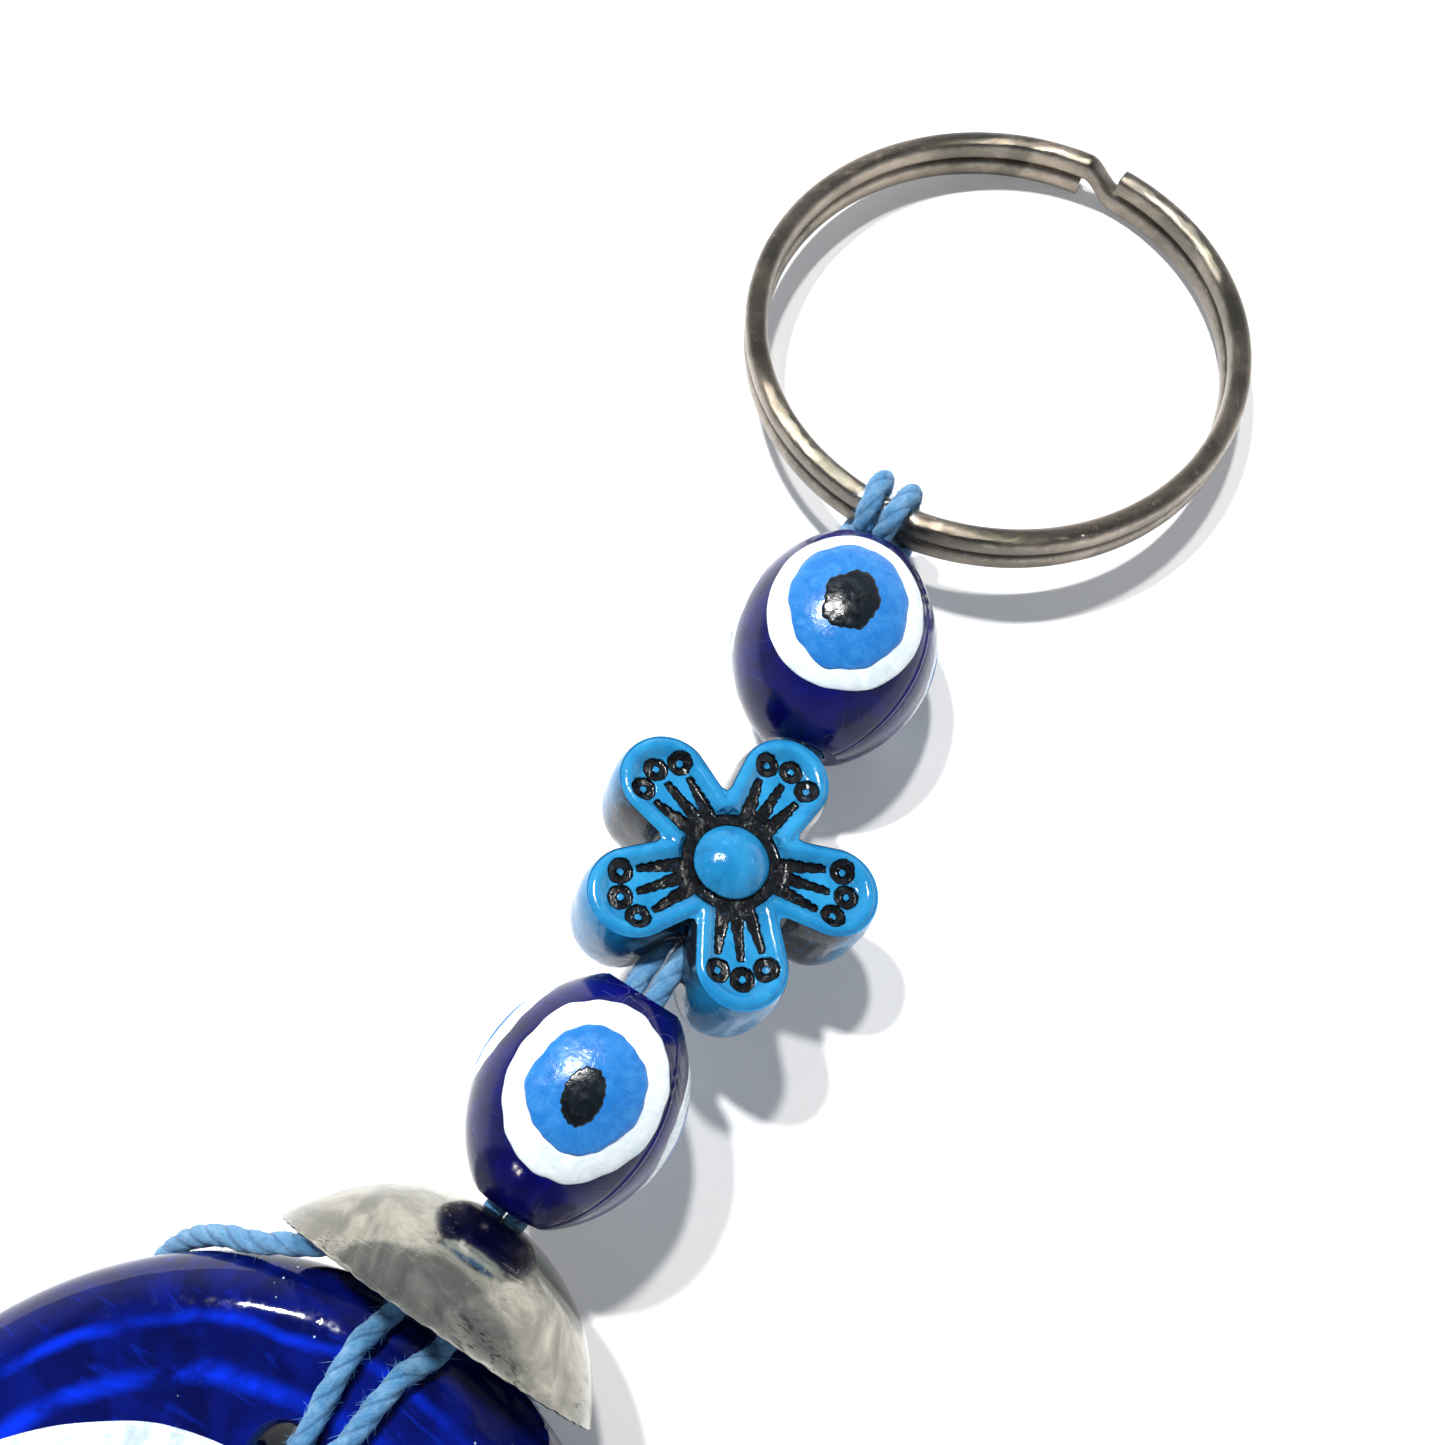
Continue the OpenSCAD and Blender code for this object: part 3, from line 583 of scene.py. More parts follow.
low = CORD_R + 0.04
left_loop = [
    by_knot(-0.6, -0.6, 0.6), by_knot(-2.0, -2.0, 0.8), on_face(0.8, 9.2), on_face(0.5, 8.1),
    on_face(0.3, 6.8), on_face(0.4, 4.0), on_face(0.65, 2.1), by_hole(0.5, 1.25, DISC_T - 0.1),
    by_hole(0.35, CORD_R + 0.1, DISC_T - 1.4), by_hole(0.3, CORD_R + 0.03, DISC_T / 2),
    by_hole(0.2, CORD_R + 0.03, 2.3), by_hole(-0.4, 0.7, 1.1), by_hole(-1.5, 0.4, low),
    rim_point(-8.6, 21, low), rim_point(-7.0, 34, low), rim_point(-4.0, 42, low),
    rim_point(-1.3, 44.5, 1.0), rim_point(0, 43.4, 1.9), rim_point(0.4, 41, 3.0),
    rim_point(0.75, 38, 4.4), beside(34.5, 5.8), beside(31, 6.9), beside(26.5, 7.8),
    rim_point(0.7, 22.3, 8.5), rim_point(0.95, 18.3, 8.9), rim_point(1.8, 13.5, 9.2),
    by_knot(-2.4, -0.9, -0.2), by_knot(-0.8, -0.2, 0)]
right_loop = [
    by_knot(0.6, -0.6, 0.5), by_knot(1.3, -2.0, 0.8), on_face(4.3, 9.3), on_face(4.0, 8.3),
    on_face(3.4, 7.2), on_face(3.0, 4.8), on_face(2.8, 2.8), on_face(2.2, 1.1),
    by_hole(1.45, -0.3, DISC_T + 0.45), by_hole(0.7, -CORD_R - 0.05, DISC_T - 0.5),
    by_hole(0.45, -CORD_R - 0.03, DISC_T - 2), by_hole(0.4, -CORD_R - 0.03, DISC_T / 2),
    by_hole(0.45, -CORD_R - 0.03, 2.3), by_hole(0.9, -0.55, 1.2), by_hole(2.0, 0.1, low),
    rim_point(-9.3, -4, low), rim_point(-7.8, -15, low), rim_point(-5.6, -24.5, low),
    rim_point(-3.4, -28.4, 0.95), rim_point(-2.0, -25.6, 1.4), rim_point(-1.65, -20.8, 1.8),
    rim_point(-1.2, -16.6, 2.05), rim_point(-1.0, -12.2, 2.5), rim_point(-0.35, -10.3, 3.15),
    by_knot(3.6, -2.4, -5.0), by_knot(2.0, -0.8, -2.2), by_knot(0.6, -0.1, -0.6)]
for name, loop, seed in (("eye_loop_left", left_loop, 3), ("eye_loop_right", right_loop, 4)):
    cord(name, [smooth_line(loop, 12)], [name], "glass_eye", seed=seed)

# The knot: a trefoil drawn tight
turns = np.linspace(0, 2 * pi, 160)
trefoil = np.stack([(2 + np.cos(3 * turns)) * np.cos(2 * turns), (2 + np.cos(3 * turns)) * np.sin(2 * turns),
                    1.3 * np.sin(3 * turns)], -1) * (KNOT_R - CORD_R) / 3.05
cord("cap_knot", [trefoil + knot_at], ["cap_knot"], "glass_eye", seed=5)


def on(place, x, y, z):
    """A point of a piece's own frame, in mm, in the row frame."""
    return tuple((place @ Vector((x * MM, y * MM, z * MM))) / MM)


def bend_strands(name, nodes, before, after, seed):
    """Two strands that run from inside one bead to inside the next and bend at the joint between."""
    lines = [smooth_line([on(before[0], s * STRAND_X, y, 0) for y in before[1]]
                         + [on(after[0], s * STRAND_X, y, 0) for y in after[1]], 10) for s in (-1, 1)]
    obj = cord(name, lines, nodes, seed=seed)
    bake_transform(obj)
    return obj


knot_y = (CAP.inverted() @ Vector(joint("eye_tilt")["pos_m"])).y / MM
bend_strands("cord_cap_to_bead", ["cap_cord_left", "cap_cord_right"],
             (CAP, [knot_y + 1.6, knot_y + 2.4, CAP_DEPTH - 0.1]), (LOWER, [-BEAD_HALF[0] + 0.3, -3, 0]), 11)
bend_strands("cord_bead_to_flower", ["lower_cord_left", "lower_cord_right"],
             (LOWER, [0, 3, BEAD_HALF[0] - 0.2]), (FLOWER, [-PETAL_REACH + 2.0, -3, 0]), 12)
bend_strands("cord_flower_to_bead", ["middle_cord_left", "middle_cord_right"],
             (FLOWER, [0, 4, PETAL_REACH - 0.2]), (UPPER, [-BEAD_HALF[1] + 0.2, -4, 0]), 13)


# Where the hitch holds the ring's wire
WIRE = RING @ Matrix.Translation((0, -(RING_R - WIRE_W / 2) * MM, 0))


def hitch_half(s):
    """Half of the hitch, mirrored by s, from a strand to the middle of the bar, on the ring's wire."""
    wrap_y = WIRE_W / 2 + CORD_R
    wrap_z = WIRE_H + COIL_GAP / 2 + CORD_R
    route = [(-STRAND_X, -HITCH_REACH + 0.3, HITCH_DROP + 0.35), (-0.78, -HITCH_REACH + 0.6, 1.6),
             (-0.86, -0.95, wrap_z - 0.05), (-1.0, 0.2, wrap_z + 0.02), (-1.05, wrap_y + 0.05, WIRE_H),
             (-1.1, wrap_y + 0.1, 0), (-1.4, wrap_y, -WIRE_H), (-1.75, 0.4, -wrap_z),
             (-1.9, -0.9, -wrap_z + 0.05), (-1.7, -wrap_y, -WIRE_H + 0.1),
             (-1.0, -wrap_y - 0.1, -0.95), (0, -wrap_y - 0.15, -0.9)]
    return [on(WIRE, s * x, y, z) for x, y, z in route]


left, right = hitch_half(1), hitch_half(-1)
hitch_line = smooth_line(left + right[-2::-1], 12)
cord("ring_hitch", [hitch_line], ["ring_hitch"], "ring_cord", radius=CORD_R + 0.05, hairs=50, seed=14)
stubs = [smooth_line([on(UPPER, s * STRAND_X, y, 0) for y in (0, 4, BEAD_HALF[1] - 0.3)]
                     + [on(WIRE, s * STRAND_X, -HITCH_REACH, HITCH_DROP),
                        on(WIRE, s * 0.75, -HITCH_REACH + 0.45, 1.5)], 10) for s in (-1, 1)]
stub = cord("cord_bead_to_ring", stubs, ["upper_cord_left", "upper_cord_right"], seed=15)
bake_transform(stub)


# ---------------------------------------------------------------- glass disc and its eye
def hole_cutter():
    """The cord hole with its rounded mouths, as a solid to cut with."""
    profile = [(0.001, -1), (HOLE_R + LIP, -1), (HOLE_R + LIP, 1.0)]
    profile += [(HOLE_R + LIP * (1 - sin(a)), 1.0 + LIP * (1 - cos(a)) * 1.2)
                for a in np.linspace(0, pi / 2, 7)]
    profile += [(HOLE_R + (LIP + 0.1) * (1 - cos(a)), DISC_T - LIP - 0.1 + (LIP + 0.1) * sin(a))
                for a in np.linspace(0, pi / 2, 9)]
    profile += [(HOLE_R + LIP + 0.1, DISC_T + 1), (0.001, DISC_T + 1)]
    points, faces = lathe(profile, 96, "Z")
    mesh = bpy.data.meshes.new("cutter")
    mesh.from_pydata(((points + (*HOLE, 0)) * MM).tolist(), [], [list(map(int, f)) for f in faces])
    obj = bpy.data.objects.new("cutter", mesh)
    bpy.context.scene.collection.objects.link(obj)
    fix_normals(obj)
    return obj


def cut(obj, tool):
    m = obj.modifiers.new("hole", "BOOLEAN")
    m.object, m.operation, m.solver = tool, "DIFFERENCE", "EXACT"
    dg = bpy.context.evaluated_depsgraph_get()
    made = bpy.data.meshes.new_from_object(obj.evaluated_get(dg))
    obj.modifiers.clear()
    obj.data = made
    made.shade_smooth()
    made.set_sharp_from_angle(angle=radians(35))


touch = (EDGE_X + EDGE_R * sin(SLOPE), EDGE_Z - EDGE_R * cos(SLOPE))
disc_outline = [(0.001, 0.0), (FOOT_R * 0.5, 0.0), (FOOT_R, 0.0)]
disc_outline += [tuple(np.array((FOOT_R, 0)) * (1 - u) + np.array(touch) * u) for u in (0.33, 0.66)]
disc_outline += [(EDGE_X + EDGE_R * cos(a), EDGE_Z + EDGE_R * sin(a))
                 for a in np.linspace(SLOPE - pi / 2, pi / 2, 40)]
disc_outline += [(EDGE_X * u, DISC_T - CROWN * u) for u in (0.75, 0.5, 0.25, 0.001)]
cutter = hole_cutter()
points, faces = lathe(disc_outline, 320, "Z")
disc = piece("glass_disc", points, faces, "blue_glass", ["glass_disc"], "glass_eye")
fix_normals(disc)
cut(disc, cutter)


def eye_layer(index):
    """One layer of the eye: a puck with an uneven outline and a soft raised edge."""
    name, (cx, cy), radius, depth = LAYERS[index]
    count = 360
    a = np.linspace(0, 2 * pi, count, endpoint=False)
    edge = radius - 0.1 + wobble(count, 0.16, (2, 3, 5, 8, 13, 21), 20 + index)
    rows, lift = [], 0.12 * (index + 1)

    def row(inset, drop, fixed=None):
        r = np.maximum(edge - inset, 0.001)
        x, y = cx + r * np.cos(a), cy + r * np.sin(a)
        z = DISC_T - CROWN * np.hypot(x, y) / EDGE_X + lift - drop
        rows.append(np.stack([x, y, z if fixed is None else np.full(count, fixed)], -1))
    for inset in (edge.max(), radius * 0.5, 0.0):
        row(inset, 0, DISC_T - depth)
    for u in np.linspace(0, pi / 2, 7):
        row(0.35 * (1 - cos(u)), 0.16 * (1 - sin(u)))
    for inset in (0.8, radius * 0.3, radius * 0.6, edge.max()):
        row(inset, 0)
    points = np.array(rows).reshape(-1, 3)
    obj = piece(name, points, grid_faces(len(rows), count, True, True),
                ["white_glass", "light_blue_glass", "black_glass"][index], [name], "glass_eye")
    fix_normals(obj)
    return obj


cut(eye_layer(0), cutter)
eye_layer(1)
eye_layer(2)
bpy.data.objects.remove(cutter)


# ---------------------------------------------------------------- bead cap
sphere = (CAP_R ** 2 + CAP_DEPTH ** 2) / (2 * CAP_DEPTH)
centre = CAP_DEPTH - sphere
top = asin((BORE_R + 0.12) / sphere)
wide = atan2(CAP_R, -centre)
cap_outline = [(sphere * sin(a), centre + sphere * cos(a)) for a in np.linspace(top, wide - 0.02, 60)]
inner = sphere - CAP_WALL
rim_in = sqrt(inner ** 2 - centre ** 2)
cap_outline += rounded([(CAP_R + 0.05, 0.16), (CAP_R - 0.02, 0.0), (rim_in, 0.0), (rim_in + 0.02, 0.2)],
                       0.14, 4)[4:12]
cap_outline += [(inner * sin(a), centre + inner * cos(a))
                for a in np.linspace(wide - 0.03, asin(BORE_R / inner), 50)]
turns_cap = 400
points, faces = lathe(cap_outline, turns_cap)
pit = wobble(turns_cap, 0.07, (3, 7, 11, 23, 37, 61), 31)
near_rim = np.clip(1 - points[:, 1] / 0.7, 0, 1) ** 2
points[:, 1] += near_rim * (np.tile(pit, len(cap_outline)) + 0.07)
cap = piece("bead_cap", points, faces, "cap_metal", ["bead_cap"], "bead_cap", CAP)
fix_normals(cap)


# ---------------------------------------------------------------- painted beads
SEAMS, SEAM_RIDGE, SEAM_DIP = (62.0, -118.0), 0.05, 0.03
GATE_AT = 60


def barrel_radius(bead, y):
    rise = BEAD_R[bead] - BEAD_END
    arc = (BEAD_HALF[bead] ** 2 + rise ** 2) / (2 * rise)
    return BEAD_R[bead] - arc + np.sqrt(np.maximum(arc ** 2 - np.asarray(y, float) ** 2, 0))


def barrel_bead(bead, name, place):
    half = BEAD_HALF[bead]
    y = np.linspace(-half + 0.16, half - 0.16, 90)
    outline = [(barrel_radius(bead, v), v) for v in y]
    end = rounded([(BEAD_END + 0.1, half - 0.2), (BEAD_END - 0.02, half), (BORE_R, half),
                   (BORE_R, half - 0.5)], 0.18, 4)[4:12]
    outline += [tuple(p) for p in end] + [(BORE_R, 0.0)]
    outline += [(p[0], -p[1]) for p in reversed(end)]
    count = 360
    points, faces = lathe(outline, count)
    angle = np.degrees(np.arctan2(points[:, 0], points[:, 2]))
    radial = np.hypot(points[:, 0], points[:, 2])
    outer = radial > BORE_R + 0.4
    for seam in SEAMS:
        off = np.abs((angle - seam + 180) % 360 - 180)
        ridge = SEAM_RIDGE * np.exp(-(off / 0.9) ** 2) - SEAM_DIP * np.exp(-((off - 2.2) / 1.1) ** 2)
        points[outer] *= (1 + (ridge / np.maximum(radial, 0.1))[:, None] * (1, 0, 1))[outer]
    gate = np.exp(-(((angle - GATE_AT) / 9) ** 2 + ((points[:, 1] - half * 0.55) / 0.9) ** 2))
    rough = 0.05 * np.sin(points[:, 1] * 9 + angle * 0.8) - 0.06
    points[outer] *= (1 + (gate * rough / np.maximum(radial, 0.1))[:, None] * (1, 0, 1))[outer]
    obj = piece(name, points, faces, "bead_glass", [name], name, place)
    fix_normals(obj)


# Each layer's width and length on each bead, against its dot's radius
SHAPES = {0: ((0.93, 1.10), (0.92, 1.00), (0.74, 1.00)), 1: ((1.04, 1.19), (1.09, 1.24), (1.12, 1.30))}
DOT_WOBBLE, DOT_THICK = (0.03, 0.055, 0.12), (0.16, 0.16, 0.14)


def painted_dot(bead, name, place, k, layer):
    """A blob of paint on the barrel: uneven outline, thick in the middle, rolled edge."""
    seed = 100 * bead + 10 * k + layer
    local = np.random.RandomState(seed)
    wide_u, long_v = SHAPES[bead][layer]
    if k:
        wide_u, long_v = 1 + local.uniform(-0.05, 0.05), 1 + local.uniform(-0.05, 0.05)
    count = 160
    a = np.linspace(0, 2 * pi, count, endpoint=False)
    edge = DOT_R[layer] * (1 + wobble(count, DOT_WOBBLE[layer], (2, 3, 4, 5, 7, 9, 12, 19), seed + 1))
    shift = (local.uniform(-0.25, 0.25), local.uniform(-0.25, 0.25)) if layer else (0, 0)
    base, thick = 0.01 + PAINT * layer, DOT_THICK[layer]
    share = np.concatenate([np.linspace(0.001, 0.86, 16), [0.91, 0.945, 0.97, 0.985, 0.995, 1.0, 1.0]])
    rise = np.concatenate([thick * (1 - 0.25 * np.linspace(0, 1, 16) ** 2),
                           thick * np.array([0.72, 0.65, 0.54, 0.42, 0.26, 0.1, -0.25])])
    u = share[:, None] * edge * wide_u * np.cos(a) + shift[0]
    v = share[:, None] * edge * long_v * np.sin(a) + shift[1] + EYE_SHIFT[bead]
    lumps = 0.02 * np.sin(u * 2.1 + seed) * np.cos(v * 1.7 + seed)
    radius = barrel_radius(bead, v) + base + rise[:, None] + lumps * (rise[:, None] > 0.05)
    w = np.sqrt(np.maximum(radius ** 2 - u ** 2, 0.01))
    roll = EYE_ROLL[bead] + k * 2 * pi / 3
    x, z = u * cos(roll) + w * sin(roll), -u * sin(roll) + w * cos(roll)
    points = np.stack([x, v, z], -1).reshape(-1, 3)
    layer_name = ("white", "iris", "pupil")[layer]
    look = ("white_paint", "blue_paint", "black_paint")[layer]
    faces = grid_faces(len(share), count, False, True)[:, ::-1]
    node = f"{name.split('_')[0]}_{layer_name}_{k + 1}"
    piece(node, points, faces, look, [node], name, place, sharp=180)


for bead, (name, place) in enumerate((("lower_bead", LOWER), ("upper_bead", UPPER))):
    barrel_bead(bead, name, place)
    for k in range(3):
        for layer in range(3):
            painted_dot(bead, name, place, k, layer)


# ---------------------------------------------------------------- flower bead
petal_y = PETAL_REACH - PETAL_R
floor_z = FLOWER_H - POCKET
GROOVE_IN, GROOVE_OUT, GROOVE_FAN, GROOVE_WIDE, GROOVE_THIN = DOME_R + 0.2, 5.9, radians(13.5), 0.5, 0.2
DOTS = [(0.0, petal_y + 0.85), (1.45, petal_y + 0.3), (-1.45, petal_y + 0.3)]
DOME_RISE = 1.15
EDGE_FALL, GROOVE_DEEP, SKIN_LIFT, SKIN_STEP = 0.24, 0.26, 0.10, 0.05
DOT_OUT, DOT_IN = 0.74, 0.25


def smooth_step(x, a, b):
    t = np.clip((x - a) / (b - a), 0, 1)
    return t * t * (3 - 2 * t)


def in_petal(x, y):
    """The same point turned into the petal around +Y."""
    turn = np.round(np.arctan2(x, y) / (2 * pi / PETALS)) * (2 * pi / PETALS)
    return x * np.cos(turn) - y * np.sin(turn), x * np.sin(turn) + y * np.cos(turn)


def depth_inside(x, y):
    """How far a point lies inside the flower's outline."""
    px, py = in_petal(x, y)
    side = PETAL_ROOT + (PETAL_R - PETAL_ROOT) * py / petal_y - np.abs(px)
    tip = PETAL_R - np.hypot(px, py - petal_y)
    return np.where(py > petal_y, tip, side)


def washed(x, y):
    """1 in the grooves, the ring dots and the moat round the dome, 0 elsewhere."""
    px, py = in_petal(x, y)
    r = np.hypot(x, y)
    rough = 0.05 * np.sin(px * 9 + py * 4) * np.cos(py * 7 - px * 3)
    out = smooth_step(r, DOME_R - 0.1, DOME_R) * (1 - smooth_step(r, DOME_R + 0.55, DOME_R + 0.75))
    for fan in (-GROOVE_FAN, 0, GROOVE_FAN):
        across = np.abs(px * cos(fan) - py * sin(fan)) + rough
        along = px * sin(fan) + py * cos(fan)
        half = GROOVE_WIDE + (GROOVE_THIN - GROOVE_WIDE) * (along - GROOVE_IN) / (GROOVE_OUT - GROOVE_IN)
        longer = GROOVE_OUT + (0.35 if fan == 0 else 0)
        line = ((1 - smooth_step(across, half - 0.05, half + 0.05))
                * smooth_step(along, GROOVE_IN - 0.1, GROOVE_IN)
                * (1 - smooth_step(along, longer - 0.12, longer)))
        out = np.maximum(out, line)
    for dx, dy in DOTS:
        d = np.hypot(px - dx, py - dy) + 0.5 * rough
        out = np.maximum(out, (1 - smooth_step(d, DOT_OUT - 0.05, DOT_OUT + 0.05))
                         * smooth_step(d, DOT_IN - 0.05, DOT_IN + 0.05))
    return out


def flower_height(x, y):
    d, r = depth_inside(x, y), np.hypot(x, y)
    inner = FACE_INSET + RIM
    pocket = smooth_step(d, inner - 0.1, inner + 0.75)
    pocket = np.maximum(pocket, 1 - smooth_step(r, DOME_R + 0.75, DOME_R + 1.0))
    edge = FLOWER_H - EDGE_FALL * (1 - smooth_step(d, FACE_INSET - 0.05, FACE_INSET + 0.5)) ** 2
    z = edge - POCKET * pocket
    z = z + 0.07 * smooth_step(d, 1.2, 2.4) * (r > DOME_R + 1)
    z = z - GROOVE_DEEP * washed(x, y)
    ball = (DOME_R ** 2 + DOME_RISE ** 2) / (2 * DOME_RISE)
    dome = floor_z - 0.12 + DOME_RISE - ball + np.sqrt(np.maximum(ball ** 2 - r ** 2, 0))
    return np.where(r < DOME_R, np.maximum(dome, z), z)


def outline(count):
    """Points of the flower's outline, by angle, and the way inward from each."""
    a = np.linspace(0, 2 * pi, count, endpoint=False)
    low_r, high_r = np.full(count, 2.0), np.full(count, PETAL_REACH + 0.5)
    for _ in range(40):
        mid = (low_r + high_r) / 2
        inside = depth_inside(mid * np.sin(a), mid * np.cos(a)) > 0
        low_r, high_r = np.where(inside, mid, low_r), np.where(inside, high_r, mid)
    x, y = low_r * np.sin(a), low_r * np.cos(a)
    tangent = np.stack([np.roll(x, -1) - np.roll(x, 1), np.roll(y, -1) - np.roll(y, 1)], -1)
    tangent /= np.linalg.norm(tangent, axis=1)[:, None]
    return np.stack([x, y], -1), np.stack([tangent[:, 1], -tangent[:, 0]], -1)


def flower():
    count, rings = 1080, 150
    line, inward = outline(count)
    rows, walls = [], []
    for up in (1, -1):
        face = []
        start = line + inward * 0.38
        for s in np.concatenate([np.linspace(0.012, 0.98, rings), [0.99, 1.0]]):
            p = start * s
            z = flower_height(p[:, 0], p[:, 1])
            face.append(np.column_stack([p, up * z]))
        wall = []
        for h in np.linspace(0.955, 0.0, 16):
            inset = FACE_INSET * h ** 3.2
            p = line + inward * inset
            wall.append(np.column_stack([p, np.full(count, up * FLOWER_H * h)]))
        part = face + (wall if up > 0 else wall[:-1])
        mark = [0.0] * len(face) + [1.0] * (len(part) - len(face))
        rows += part if up > 0 else part[::-1]
        walls += mark if up > 0 else mark[::-1]
    points = np.array(rows).reshape(-1, 3)
    faces = grid_faces(len(rows), count, False, True)
    caps = []
    for up, first in ((1, 0), (-1, (len(rows) - 1) * count)):
        hub = len(points) + len(caps)
        caps.append((0.0, 0.0, up * float(flower_height(np.array([0.001]), np.array([0.0]))[0])))
        ring = first + np.arange(count)
        fan = np.stack([ring, (np.roll(ring, -1)), np.full(count, hub), np.full(count, hub)], -1)
        faces = np.vstack([faces, fan])
    points = np.vstack([points, np.array(caps)])
    faces = [f if len(set(f)) == 4 else f[:3] for f in faces.tolist()]
    wash = washed(points[:, 0], points[:, 1]) * (np.abs(points[:, 2]) > 1.9)
    d = depth_inside(points[:, 0], points[:, 1])
    corner = np.exp(-((d - FACE_INSET - RIM - 0.6) / 0.2) ** 2) * (np.abs(points[:, 2]) > 2)
    near = np.exp(-((np.hypot(points[:, 0], points[:, 1]) - DOME_R - 0.7) / 0.5) ** 2)
    wall = np.repeat(np.array(walls), count)
    wall = np.concatenate([wall, [0, 0]])
    notch = 1 - smooth_step(np.hypot(points[:, 0], points[:, 1]), 7.0, 8.8)
    stain = np.clip(wash + 0.3 * corner + 0.45 * near, 0, 1) * (1 - wall) + notch * wall
    roll = Matrix.Rotation(FLOWER_ROLL, 4, "Y")
    obj = piece("flower_bead", points, faces, "flower_enamel", ["flower_bead"], "flower_bead",
                FLOWER @ roll, 50, wash=stain, wall=wall)
    fix_normals(obj)
    # The wash that fills the grooves, a thin skin on both faces
    axis = np.arange(-PETAL_REACH, PETAL_REACH + SKIN_STEP, SKIN_STEP)
    gx, gy = np.meshgrid(axis, axis)
    mask = washed(gx, gy) > 0.5
    sag = 0.03 * np.sin(gx * 3.1) * np.cos(gy * 2.7)
    skins, quads = [], []
    for up in (1, -1):
        z = flower_height(gx, gy) + SKIN_LIFT + sag
        base = len(gx.ravel()) * (0 if up > 0 else 1)
        skins.append(np.stack([gx, gy, up * z], -1).reshape(-1, 3))
        f = grid_faces(*gx.shape)
        keep = mask.ravel()[f].sum(1) >= 2
        f = f[keep] + base
        quads.append(f if up > 0 else f[:, ::-1])
    points, faces = np.vstack(skins), np.vstack(quads)
    used = np.unique(faces)
    renumber = np.full(len(points), -1)
    renumber[used] = np.arange(len(used))
    piece("flower_wash", points[used], renumber[faces], "black_wash", ["flower_wash"], "flower_bead",
          FLOWER @ roll, 50)


flower()


# ---------------------------------------------------------------- split ring
def split_ring():
    """Two coils of rounded wire with a short crossover and cut ends."""
    level = (WIRE_H + COIL_GAP) / 2
    start, cross_from, cross_to, turn_by, power = 83.5, 9.5, 0.5, 710.0, 2.8
    t = np.arange(0, turn_by + 0.5, 1.25)
    c = np.clip((t - (360 - cross_from)) / (cross_from - cross_to), 0, 1)
    z = level * (1 - 2 * c * c * (3 - 2 * c))
    sides = 48
    k = 2 * pi * (np.arange(sides) + 0.5) / sides
    ck, sk = np.cos(k), np.sin(k)
    across = WIRE_W / 2 * np.sign(ck) * np.abs(ck) ** (2 / power)
    up = WIRE_H / 2 * np.sign(sk) * np.abs(sk) ** (2 / power)
    middle = RING_R - WIRE_W / 2
    turn = np.radians(start - t)
    rows = []
    ends = [(0, s) for s in (0.001, 0.5, 0.85, 0.97)]
    tail = [(len(t) - 1, s) for s in (0.97, 0.85, 0.5, 0.001)]
    for i, s in ends + [(i, 1.0) for i in range(len(t))] + tail:
        r = middle + across * s
        nudge = 0.0 if s == 1.0 else (-0.03 if i == 0 else 0.03) * (1 if s > 0.9 else 1.6)
        a = turn[i] - nudge / middle
        rows.append(np.stack([r * cos(a), r * sin(a), z[i] + up * s], -1))
    points = np.array(rows).reshape(-1, 3)
    count = len(rows)
    s_along = np.interp(np.arange(count), np.arange(4, 4 + len(t)), np.radians(t) * middle)
    flow = np.stack([np.repeat(s_along, sides), np.tile(across, count), np.tile(up, count)], -1)
    edge = np.tile(np.exp(-((np.abs(across) / (WIRE_W / 2) - 1) / 0.16) ** 2)
                   * np.exp(-((np.abs(up) / (WIRE_H / 2) - 0.85) / 0.3) ** 2), count)
    obj = piece("split_ring", points, grid_faces(count, sides, False, True), "ring_metal", ["split_ring"],
                "split_ring", RING, 50, flow=flow, edge=edge)
    fix_normals(obj)


split_ring()


# ---------------------------------------------------------------- floor, light and camera
FLOOR_LIFT, FLOOR_FAR = 0.12, 6.5
FRAME_PX, FOCAL_PX = 1445, 1629.7
# Height above the horizon, 0 to 1, and the studio's light there
SKY = [(0.35, (0.50, 0.54, 0.60, 1)), (0.6, (0.28, 0.30, 0.33, 1)), (0.8, (0.10, 0.105, 0.11, 1))]
SKY_STRENGTH = 1.15


def floor():
    """A plain pale floor, lifted to white for the camera and for gloss, more so far from the object."""
    bpy.ops.mesh.primitive_plane_add(size=6)
    obj = bpy.context.object
    obj.name = "floor"
    look = Look("floor", color=(0.82, 0.82, 0.82, 1), roughness=0.9, specular=0.2)
    out = look.tree.nodes["Material Output"]
    path = look.node("ShaderNodeLightPath")
    seen = look.math("MAXIMUM", path.outputs["Is Camera Ray"], path.outputs["Is Glossy Ray"])
    away = look.node("ShaderNodeVectorMath", {0: look.place}, operation="LENGTH").outputs["Value"]
    seen = look.math("MULTIPLY", seen, look.step(away, 0.25, 1.2, 1.0, FLOOR_FAR))
    glow = look.node("ShaderNodeEmission", {"Color": (1, 1, 1, 1),
                                            "Strength": look.math("MULTIPLY", seen, FLOOR_LIFT)})
    both = look.node("ShaderNodeAddShader", {0: look.shader.outputs[0], 1: glow.outputs[0]})
    look.tree.links.new(both.outputs[0], out.inputs[0])
    obj.data.materials.append(look.mat)


def lamp(name, at, size, power, colour=(1, 1, 1)):
    data = bpy.data.lights.new(name, "AREA")
    data.shape, data.size, data.energy, data.color = "DISK", size, power, colour
    obj = bpy.data.objects.new(name, data)
    bpy.context.scene.collection.objects.link(obj)
    obj.location = at
    aim = Vector((0, 0.06, 0)) - obj.location
    obj.rotation_euler = aim.to_track_quat("-Z", "Y").to_euler()


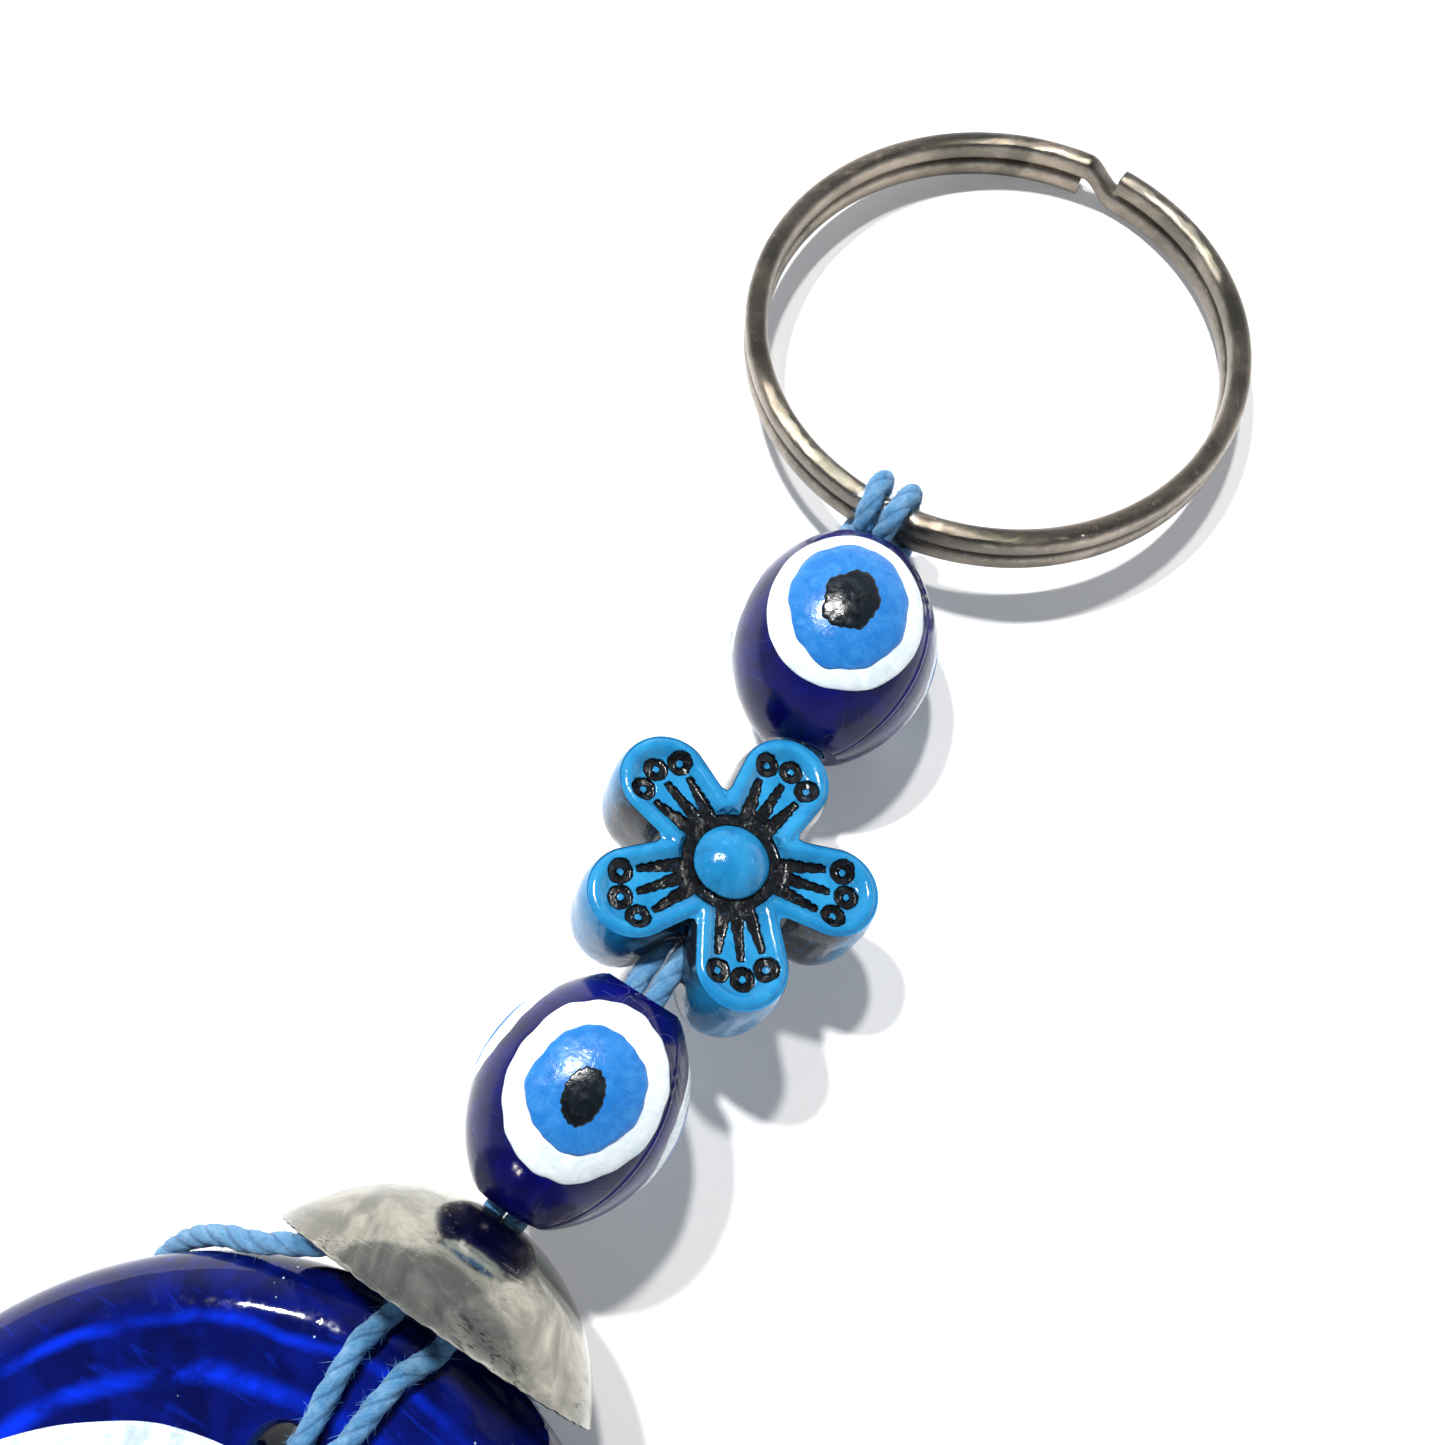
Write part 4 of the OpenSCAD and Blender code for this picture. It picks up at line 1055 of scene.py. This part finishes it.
def world():
    """Studio light that dims overhead, on plain white for the camera."""
    w = bpy.data.worlds.new("studio")
    bpy.context.scene.world = w
    w.use_nodes = True
    t = w.node_tree
    back = t.nodes["Background"]
    coord = t.nodes.new("ShaderNodeTexCoord")
    split = t.nodes.new("ShaderNodeSeparateXYZ")
    ramp = t.nodes.new("ShaderNodeValToRGB")
    t.links.new(coord.outputs["Generated"], split.inputs[0])
    t.links.new(split.outputs[2], ramp.inputs[0])
    path, white = t.nodes.new("ShaderNodeLightPath"), t.nodes.new("ShaderNodeBackground")
    mixed = t.nodes.new("ShaderNodeMixShader")
    white.inputs[0].default_value = (1, 1, 1, 1)
    t.links.new(ramp.outputs[0], back.inputs[0])
    t.links.new(path.outputs["Is Camera Ray"], mixed.inputs[0])
    t.links.new(back.outputs[0], mixed.inputs[1])
    t.links.new(white.outputs[0], mixed.inputs[2])
    t.links.new(mixed.outputs[0], t.nodes["World Output"].inputs[0])
    stops = ramp.color_ramp.elements
    stops[0].position, stops[0].color = 0.0, (0.60, 0.64, 0.70, 1)
    stops[1].position, stops[1].color = 1.0, (0.05, 0.05, 0.05, 1)
    for at, colour in SKY:
        stops.new(at).color = colour
    back.inputs[1].default_value = SKY_STRENGTH


def camera():
    look_at = Vector((-6.556, 66.058, 0)) * MM
    away, rise, heading, roll = 112.129 * MM, radians(71.712), radians(36.572), radians(-4.922)
    ahead = Vector((-sin(heading) * cos(rise), cos(heading) * cos(rise), -sin(rise)))
    right0 = ahead.cross(Vector((0, 0, 1))).normalized()
    up0 = right0.cross(ahead)
    right = right0 * cos(roll) + up0 * sin(roll)
    up = up0 * cos(roll) - right0 * sin(roll)
    data = bpy.data.cameras.new("camera")
    data.sensor_width = 36
    data.lens = data.sensor_width * FOCAL_PX / FRAME_PX
    data.clip_start, data.clip_end = 0.01, 20
    obj = bpy.data.objects.new("camera", data)
    bpy.context.scene.collection.objects.link(obj)
    obj.matrix_world = placed(right, up, -ahead, look_at - ahead * away)
    bpy.context.scene.camera = obj


floor()
lamp("key", (-0.30, 0.22, 0.72), 0.05, 6.8)
lamp("second", (-0.16, 0.34, 0.74), 0.05, 4.1, (1.0, 0.98, 0.95))
world()
camera()
bpy.context.scene.view_settings.view_transform = "Standard"
